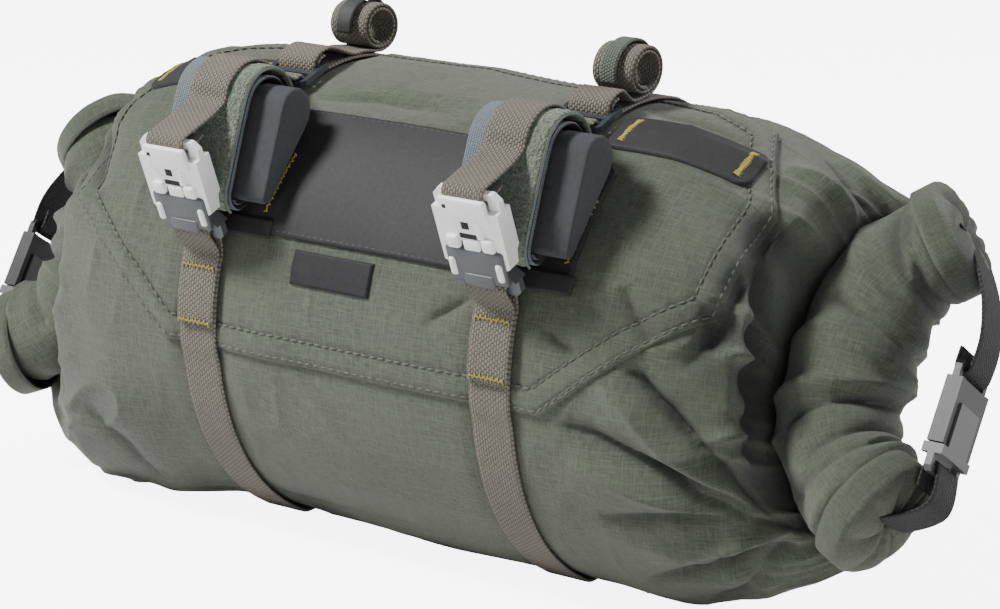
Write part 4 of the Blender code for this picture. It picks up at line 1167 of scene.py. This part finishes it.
def compressionPath():
    low, _, outward, _ = buckleFrame()
    loop = loopRadius(buckle["bar"])
    rows = [webbing["doubledFrom"], 8.0, 13.0, 17.0, 20.0]
    path = [flatSkin(angle, strapMid + layerStep) for angle in rows]
    path[-1] = flatSkin(rows[-1], strapMid + layerStep + 0.0009)
    heading = math.degrees(math.atan2(outward.y, outward.x))
    path += arcPath(low, loop, heading, heading - 180.0, 8)
    path += [flatSkin(angle, strapMid) for angle in reversed(rows)]
    edge, top = panelEnds
    path.append(flatSkin(edge + 1.5, strapMid))
    path.append(flatSkin(edge - 1.0, strapMid - 0.0004))
    angle = edge - webbing["rim"] - 1.0
    while angle > top - 360.0 + webbing["rim"]:
        path.append(flatSkin(angle, strapBare))
        angle -= 6.0
    path.append(flatSkin(top - 360.0 + 0.6, strapMid))
    center, out, along = lockFrame()
    rear = center + along * (lock["length"] / 2 - lock["bar"] / 2)
    around = loopRadius(lock["bar"])
    for angle in (102.0, 97.0, 92.0, 87.0, 82.0):
        path.append(flatSkin(angle, strapMid))
    turn = math.degrees(math.atan2(-out.y, -out.x))
    path += arcPath(rear, around, turn, turn - 180.0, 8)
    path.append(rear + out * around + along * lock["bar"])
    return path


def ovalPath(growth, start, end):
    upper, lower, out, along = rollFrame()

    def around(center, radius, angle):
        turn = math.radians(angle)
        return center + (along * math.cos(turn) + out * math.sin(turn)) * radius

    steps = int(round(abs(end - start) / 11.25))
    points = []
    for index in range(steps + 1):
        angle = start + (end - start) * index / steps
        place = angle % 360.0
        high = around(upper, roll["half"] + growth(angle), angle)
        low = around(lower, roll["low"] + growth(angle), angle)
        if abs(place - 112.5) < 1.0:
            points += [high, low] if end > start else [low, high]
        elif abs(place - 270.0) < 1.0:
            points += [low, high] if end > start else [high, low]
        else:
            points.append(high if place < 112.5 or place > 270.0 else low)
    return points


def upperStrapPath(tail):
    high = buckleFrame()[1]
    upper, _, out, along = rollFrame()
    loop = loopRadius(buckle["bar"])
    top = roll["half"] + rollWrap() + webbing["gap"] * 2 + roll["pile"] + webbing["thick"] / 2
    over = []
    for angle in (120.0, 98.0, 76.0, 54.0, 32.0, 15.0):
        turn = math.radians(angle)
        over.append(upper + (along * math.cos(turn) + out * math.sin(turn)) * top)
    toward = (over[0] - high).normalized()
    heading = math.degrees(math.atan2(toward.x, -toward.y))
    path = arcPath(high, loop, heading + 180.0, heading, 8)
    path.insert(0, path[0] + toward * webbing["sewnBack"])
    path += over
    center, lockOut, lockAlong = lockFrame()
    bar = lock["bar"]
    weave = bar / 2 + webbing["gap"] * 2 + webbing["thick"] / 2
    front = -(lock["length"] - bar) / 2
    middle = front + lock["middle"]
    rear = -front
    above = loopRadius(bar) + layerStep
    steps = (
        (front - bar * 0.4, weave),
        (front + bar * 0.8, weave),
        (middle - bar * 0.8, -weave),
        (middle + bar, -weave),
        (middle + bar * 1.5, weave * 0.8),
        (middle + bar * 2.4, above),
        (rear + bar * 2.4, above),
    )
    for shift, height in steps:
        path.append(center + lockAlong * shift + lockOut * height)
    reach = tail - math.degrees(coil["radius"] * 0.75 / bag["halfHeight"])
    if reach > coil["middle"] + 1.0:
        path.append(flatSkin(coil["middle"], strapMid + layerStep))
    path.append(flatSkin(reach, strapMid + layerStep + coil["rest"]))
    return path


def squashed(path, tail):
    # the coil is pressed a little flat on the strap under it
    out = flatFrame(tail)[0]
    rest = flatSkin(tail, strapMid + layerStep + coil["rest"])
    return [point - out * (point - rest).dot(out) * coil["squash"] for point in path]


def coilPath(tail):
    out = flatFrame(tail)[0]
    center = flatSkin(tail, strapMid + layerStep + coil["rest"] + coil["radius"])
    start = math.degrees(math.atan2(-out.y, -out.x))
    path = []
    steps = int(20 * coil["turns"])
    for index in range(steps + 1):
        turn = math.radians(start + 360.0 * coil["turns"] * index / steps)
        radius = coil["radius"] - coil["pitch"] * coil["turns"] * index / steps
        path.append(center + Vector((math.cos(turn), math.sin(turn))) * radius)
    return path


def smoothPath(path, step):
    # Centripetal curve through the points, sampled evenly
    points = [np.array(path[0])]
    for point in path[1:]:
        if np.linalg.norm(np.array(point) - points[-1]) > 1e-6:
            points.append(np.array(point))
    points = np.array(points)
    ends = np.concatenate([[2 * points[0] - points[1]], points, [2 * points[-1] - points[-2]]])
    dense = []
    for index in range(len(points) - 1):
        p0, p1, p2, p3 = ends[index:index + 4]
        t0 = 0.0
        t1 = t0 + np.linalg.norm(p1 - p0) ** 0.5
        t2 = t1 + np.linalg.norm(p2 - p1) ** 0.5
        t3 = t2 + np.linalg.norm(p3 - p2) ** 0.5
        t = np.linspace(t1, t2, 12, endpoint=False)[:, None]
        a1 = (t1 - t) / (t1 - t0) * p0 + (t - t0) / (t1 - t0) * p1
        a2 = (t2 - t) / (t2 - t1) * p1 + (t - t1) / (t2 - t1) * p2
        a3 = (t3 - t) / (t3 - t2) * p2 + (t - t2) / (t3 - t2) * p3
        b1 = (t2 - t) / (t2 - t0) * a1 + (t - t0) / (t2 - t0) * a2
        b2 = (t3 - t) / (t3 - t1) * a2 + (t - t1) / (t3 - t1) * a3
        dense.append((t2 - t) / (t2 - t1) * b1 + (t - t1) / (t2 - t1) * b2)
    dense = np.concatenate(dense + [points[-1:]])
    far = np.concatenate([[0.0], np.cumsum(np.linalg.norm(np.diff(dense, axis=0), axis=1))])
    count = max(4, int(far[-1] / step))
    at = np.linspace(0.0, far[-1], count)
    return np.stack([np.interp(at, far, dense[:, axis]) for axis in (0, 1)], axis=-1), at


axisY = np.array([0.0, 1.0, 0.0])
axisZ = np.array([0.0, 0.0, 1.0])


def ribbon(name, path, thick, center, width, material, frameAxes=(axisY, axisZ, alongX), origin=base,
           step=0.0011, inner=None, wave=0.0002, fuzz=0.0, across=13):
    # Flat band of cloth along a path in one plane, its width along the third axis
    line, at = smoothPath(path, step)
    way = unit(np.gradient(line, axis=0))
    side = np.stack([-way[:, 1], way[:, 0]], axis=-1)
    half = width / 2
    edge = thick * 0.45
    spots = np.linspace(-half + edge, half - edge, across)
    section = [(spot, thick / 2) for spot in spots]
    section += [(half, thick * 0.18), (half, -thick * 0.18)]
    section += [(spot, -thick / 2) for spot in reversed(spots)]
    section += [(-half, -thick * 0.18), (-half, thick * 0.18)]
    section = np.array(section)
    shift = (cellNoise(at * 40.0, at * 0.0 + 3.0, 61) - 0.5) * wave * 2
    depth = section[None, :, 1]
    if fuzz:
        bump = cellNoise(at[:, None] * 900.0, section[None, :, 0] * 900.0, 71)
        bump = bump + cellNoise(at[:, None] * 420.0, section[None, :, 0] * 420.0 + 9.0, 72)
        depth = depth + np.sign(depth) * (bump - 0.9) * fuzz
    flatPlace = line[:, None, :] + side[:, None, :] * depth[..., None]
    over = center + section[None, :, 0] + shift[:, None]
    eu, ev, ew = frameAxes
    points = flatPlace[..., 0:1] * eu + flatPlace[..., 1:2] * ev + over[..., None] * ew + origin
    uvs = np.stack(np.broadcast_arrays(at[:, None], section[None, :, 0]), axis=-1)
    uvs = np.concatenate([uvs, uvs[:, :1]], axis=1)
    obj = addGrid(name, points, uvs, material, closed=True, capped=True)
    if inner is not None:
        obj.data.materials.append(inner)
        columns = len(section)
        for polygon in obj.data.polygons:
            corner = polygon.vertices[0] % columns
            if corner >= across + 1:
                polygon.material_index = 1
    return turnedOut(obj)


for side, x in strapX.items():
    piece = ribbon("compressionWebbing_" + side, compressionPath(), webbing["thick"], x, webbing["width"],
                   look["webbing"])
    settle(piece, "webbing", "compression_strap_" + side)
    tail = coilAngle[side]
    path = upperStrapPath(tail) + squashed(coilPath(tail), tail)
    piece = ribbon("upperWebbing_" + side, path, webbing["thick"], x, webbing["width"], look["webbing"])
    settle(piece, "webbing", "upper_strap_" + side)

# yellow bar tacks on the straps and beside them on the label panel
tackAt = {"left": (16.0, 3.2), "right": (17.0, 4.2)}
for side, x in strapX.items():
    upperTack, lowerTack = tackAt[side]
    for level, angle in (("Upper", upperTack), ("Lower", lowerTack)):
        lift = strapMid + layerStep + webbing["thick"] / 2 + tack["lift"]
        line = zigzag(flat(x - tack["half"], angle), flat(x + tack["half"], angle), 0.0028, 16)
        skinStitches("strapTack" + level + "_" + side, [line], lift, tack["pitch"], tack["length"],
                     tack["radius"], look["yellow"], "webbing")
labelTacks = (((-0.0465, 46.5), (-0.0505, 31.0)), ((0.1045, 48.5), (0.1025, 32.0)))
lines = [zigzag(flat(*one), flat(*two), 0.0026, 22) for one, two in labelTacks]
skinStitches("labelTacks", lines, label["under"] + label["thick"] + 0.0001, tack["pitch"],
             tack["length"], tack["radius"], look["yellow"], "coated_cloth")
print("webbing made")


# rolled hook and loop straps on their spacers
def makeRolledStraps():
    start = 180.0
    end = start + 360.0 * roll["turns"]

    def wound(angle):
        return webbing["gap"] + roll["thick"] / 2 + roll["pitch"] * (angle - start) / 360.0

    def onTop(angle):
        return rollWrap() + roll["pile"] / 2

    for side, x in strapX.items():
        piece = ribbon("hookTape_" + side, ovalPath(wound, start, end), roll["thick"], x, roll["width"],
                       look["black"], inner=look["hook"], across=21)
        settle(piece, "hook_tape", "hook_strap_" + side)
        piece = ribbon("pileTape_" + side, ovalPath(onTop, 168.75, -67.5), roll["pile"], x + roll["pileX"],
                       roll["pileWidth"], look["pile"], fuzz=0.0004, step=0.0007, across=40)
        settle(piece, "loop_pile", "loop_pile_" + side)
        piece = ribbon("tapeEdge_" + side, ovalPath(onTop, 180.0, -67.5), roll["pile"] * 0.8,
                       x + roll["edgeX"], roll["edgeWidth"], look["paleEdge"])
        settle(piece, "hook_tape")
        piece = ribbon("hookFace_" + side, ovalPath(onTop, 180.0, -45.0)[1:], roll["pile"] * 0.7,
                       x + roll["faceX"], roll["faceWidth"], look["hook"])
        settle(piece, "hook_tape")


makeRolledStraps()


def makeSpacer(side, x):
    upper, lower, out, along = rollFrame()
    outline = []
    arcs = ((upper, roll["half"], -90.0, 112.5), (lower, roll["low"], 112.5, 270.0))
    for center, radius, low, high in arcs:
        for step in range(16):
            turn = math.radians(low + (high - low) * step / 15)
            point = center + (along * math.cos(turn) + out * math.sin(turn)) * (radius - 0.0003)
            outline.append((point.x, point.y))
    outline = np.array(outline)
    middle = outline.mean(axis=0)
    # place along the wedge and scale of the section there
    reach = np.array([(-0.019, 0.90), (-0.0186, 0.97), (-0.017, 1.0), (0.0, 1.0), (0.02, 1.0),
                      (0.0325, 1.0), (0.0335, 0.985), (0.0339, 0.955), (0.0339, 0.80), (0.0339, 0.55),
                      (0.0339, 0.30), (0.0339, 0.05)])
    rings = []
    for place, scale in reach:
        ring = middle + (outline - middle) * scale
        rings.append(np.stack([np.full(len(ring), x + place), ring[:, 0], ring[:, 1]], axis=-1) + base)
    points = np.array(rings)
    count = points.shape[1]
    uvs = np.stack(np.broadcast_arrays(reach[:, :1], (np.arange(count + 1) * 0.003)[None, :]), axis=-1)
    obj = addGrid("spacerFoam_" + side, points, uvs, look["foam"], closed=True, capped=True)
    turnedOut(obj)
    settle(obj, "spacer_foam", "spacer_" + side)


for side, x in strapX.items():
    makeSpacer(side, x)
    path = [flatSkin(angle, labelTop + webbing["gap"] + pad["lift"]) for angle in pad["angles"]]
    piece = ribbon("spacerPad_" + side, path, pad["thick"], x + pad["x"], pad["width"], look["coated"])
    settle(piece, "black_cloth", "spacer_pad_" + side)
    out = flatFrame(coilAngle[side])[0]
    center = flatSkin(coilAngle[side], strapMid + layerStep + coil["rest"] + coil["radius"])
    start = math.degrees(math.atan2(-out.y, -out.x))
    radius = coil["radius"] + webbing["thick"] / 2 + webbing["gap"] + keeper["clear"]
    material = look["rubber"] if side == "left" else look["keeperCloth"]
    path = arcPath(center, radius, start + keeper["start"], start + keeper["end"], 16)
    path = squashed(path, coilAngle[side])
    piece = ribbon("tailKeeper_" + side, path, keeper["thick"], x, keeper["width"], material)
    settle(piece, "rubber", "tail_keeper_" + side)
print("rolled straps made")


# moulded parts from the frame
finish = {
    "ladder_lock_": ("lock", 0.0007),
    "buckle_lower_": ("grey", 0.0010),
    "buckle_upper_": ("white", 0.0010),
    "clasp_female_": ("clasp", 0.0010),
    "clasp_male_": ("latch", 0.0010),
}
for prefix, (key, width) in finish.items():
    for side in ("left", "right"):
        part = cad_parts[prefix + side]
        part.data.materials.clear()
        part.data.materials.append(look[key])
        bevel = part.modifiers.new("edge", "BEVEL")
        bevel.width = width
        bevel.segments = 3
        bevel.limit_method = "ANGLE"
        bevel.angle_limit = math.radians(40.0)

# small moulded details on the two magnetic buckles
detail = {
    # name: material, place across, along and out of the buckle, size, bevel, in mm
    "brow": ("white", 0.0, 39.0, 4.6, (23.0, 11.0, 2.6), 1.2),
    "ridge": ("white", 5.5, 31.5, 4.6, (3.4, 11.0, 2.6), 1.0),
    "hookLeft": ("white", -8.5, 23.6, 4.9, (6.0, 6.0, 3.6), 1.3),
    "hookRight": ("white", 8.5, 23.6, 4.9, (6.0, 6.0, 3.6), 1.3),
    "tongue": ("white", 0.0, 22.4, 4.4, (8.0, 5.0, 2.6), 0.9),
    # painted shade: a thin black block stands in for the dark inside of the square hole
    "window": ("black", -1.5, 31.5, 4.5, (3.6, 3.6, 0.5), 0.2),
    "mark": ("black", -8.5, 40.5, 5.85, (1.8, 1.8, 0.4), 0.18),
    # painted shade: a thin black block stands in for the dark slot beside the tongue
    "gap": ("black", 0.0, 26.4, 4.2, (10.5, 2.4, 1.2), 0.4),
    "saddle": ("grey", 0.0, 12.6, 4.3, (28.0, 16.4, 3.0), 1.4),
    "waist": ("grey", 0.0, 6.0, 5.2, (15.0, 6.0, 2.8), 1.2),
    "buttonLeft": ("white", -11.4, 11.5, 5.6, (3.2, 8.5, 2.6), 1.25),
    "buttonRight": ("white", 11.4, 11.5, 5.6, (3.2, 8.5, 2.6), 1.25),
}


def addBuckleDetails(side, x):
    low, _, outward, lean = buckleFrame()
    for name, (key, across, along, out, size, edge) in detail.items():
        wide, tall, deep = (value / 1000.0 for value in size)
        middle = low + lean * (along / 1000.0) + outward * (out / 1000.0)
        deselectAll()
        bpy.ops.mesh.primitive_cube_add(size=1.0)
        obj = bpy.context.object
        obj.name = "buckle" + name[0].upper() + name[1:] + "_" + side
        obj.matrix_world = Matrix((
            (wide, 0.0, 0.0, x + across / 1000.0 + base[0]),
            (0.0, lean.x * tall, outward.x * deep, middle.x + base[1]),
            (0.0, lean.y * tall, outward.y * deep, middle.y + base[2]),
            (0.0, 0.0, 0.0, 1.0),
        ))
        bpy.ops.object.transform_apply(location=True, rotation=True, scale=True)
        turnedOut(obj)
        bevel = obj.modifiers.new("edge", "BEVEL")
        bevel.width = edge / 1000.0
        bevel.segments = 4
        applyAll(obj)
        bpy.ops.object.shade_smooth_by_angle(angle=math.radians(35.0))
        obj.data.materials.append(look[key])
        settle(obj, key + "_plastic" if key != "black" else "clasp_plastic")


for side, x in strapX.items():
    addBuckleDetails(side, x)
print("buckles made")


# closure straps on the rolled ends
closure = {"width": 0.020, "thick": 0.0014, "length": 0.046, "shift": -0.014, "clear": 0.0015,
           "bar": 0.0030, "claspThick": 0.0088, "lead": 0.003, "inRun": 0.012, "outRun": 0.006,
           "across": {"right": 0.0, "left": -0.013}}


def makeClosures():
    low = closure["shift"] - closure["length"] / 2
    high = closure["shift"] + closure["length"] / 2
    bar = closure["bar"]
    for side, (sign, out, shift, _) in mouth["sides"].items():
        axes = (alongX * sign, mouthAlong, mouthUp)
        origin = base + mouthAlong * shift + mouthUp * (out + closure["across"][side])
        arm = bowPoint(side, np.array([-1.0]))[0][0][0]
        reach = mouth["radius"] * mouth["wide"]
        face = arm + reach * math.cos(math.radians(mouth["bendLower"]))
        face = face + closure["claspThick"] / 2 + closure["clear"]
        for level, direction, end in (("lower_", -1, low), ("upper_", 1, high)):
            bend = float(bowBend(direction))
            point = bowPoint(side, np.array([float(direction)]))[0][0]
            tangent = Vector((math.sin(bend), math.cos(bend) * direction))
            start = Vector((point[0], float(point @ mouthAlong) - shift))
            barCenter = Vector((face, end - direction * bar / 2))
            loop = loopRadius(bar, closure["thick"])
            path = [start + tangent * webbing["gap"], start + tangent * closure["lead"]]
            if direction > 0:
                path.append(start + Vector((tangent.y, -tangent.x)) * reach + tangent * closure["lead"])
            path.append(Vector((face + loop, end + direction * closure["inRun"])))
            for angle in range(0, 181, 30):
                turn = math.radians(angle)
                path.append(barCenter + Vector((math.cos(turn), -direction * math.sin(turn))) * loop)
            path.append(Vector((face - loop, end + direction * closure["outRun"])))
            piece = ribbon("closureWebbing_" + level + side, path, closure["thick"], 0.0, closure["width"],
                           look["darkWebbing"], frameAxes=axes, origin=origin)
            settle(piece, "dark_webbing", "closure_strap_" + level + side)


makeClosures()
print("closures made")


# camera, floor and light
view = {
    "azimuth": 35.8,
    "elevation": 15.85,
    "distance": 1.450,
    "lens": 118.8,
    "shift": (0.0187, 0.0073),
}


def makeStage():
    turn = math.radians(view["azimuth"])
    rise = math.radians(view["elevation"])
    back = Vector((math.sin(turn) * math.cos(rise), -math.cos(turn) * math.cos(rise), math.sin(rise)))
    data = bpy.data.cameras.new("camera")
    data.lens = view["lens"]
    data.shift_x, data.shift_y = view["shift"]
    data.clip_end = 20.0
    camera = bpy.data.objects.new("camera", data)
    bpy.context.scene.collection.objects.link(camera)
    camera.location = Vector(base.tolist()) + back * view["distance"]
    camera.rotation_euler = (-back).to_track_quat("-Z", "Y").to_euler()
    bpy.context.scene.camera = camera
    deselectAll()
    bpy.ops.mesh.primitive_plane_add(size=8.0, location=(0.0, 0.0, 0.0))
    floor = bpy.context.object
    floor.name = "floor"
    material, tree, shader, place = startMaterial("floorPaint", 0.9)
    stain = addGroup(tree, mottle, place.outputs["Object"], Size=3.0)
    paint = colorMix(tree, stain.outputs["Fine"], (0.80, 0.80, 0.80), (0.84, 0.84, 0.84))
    tree.links.new(paint, shader.inputs["Base Color"])
    shader.inputs["Emission Color"].default_value = (1.0, 1.0, 1.0, 1.0)
    seen = tree.nodes.new("ShaderNodeLightPath")
    glow = mathNode(tree, "MULTIPLY", seen.outputs["Is Camera Ray"], 6.0)
    tree.links.new(glow, shader.inputs["Emission Strength"])
    floor.data.materials.append(material)
    lamps = (
        # name, place, energy, size
        ("key", (-0.9, -0.75, 1.45), 62.0, 0.4),
        ("fill", (1.5, -1.3, 0.5), 9.0, 1.0),
        ("rim", (0.6, 1.2, 1.1), 22.0, 0.8),
    )
    for name, place, energy, size in lamps:
        light = bpy.data.lights.new(name, "AREA")
        light.energy = energy
        light.size = size
        obj = bpy.data.objects.new(name, light)
        bpy.context.scene.collection.objects.link(obj)
        obj.location = place
        obj.rotation_euler = (Vector((0.0, 0.0, 0.1)) - Vector(place)).to_track_quat("-Z", "Y").to_euler()
    world = bpy.data.worlds.new("studio")
    world.use_nodes = True
    world.node_tree.nodes["Background"].inputs[0].default_value = (1.0, 1.0, 1.0, 1.0)
    world.node_tree.nodes["Background"].inputs[1].default_value = 0.16
    bpy.context.scene.world = world


makeStage()
print("stage made")
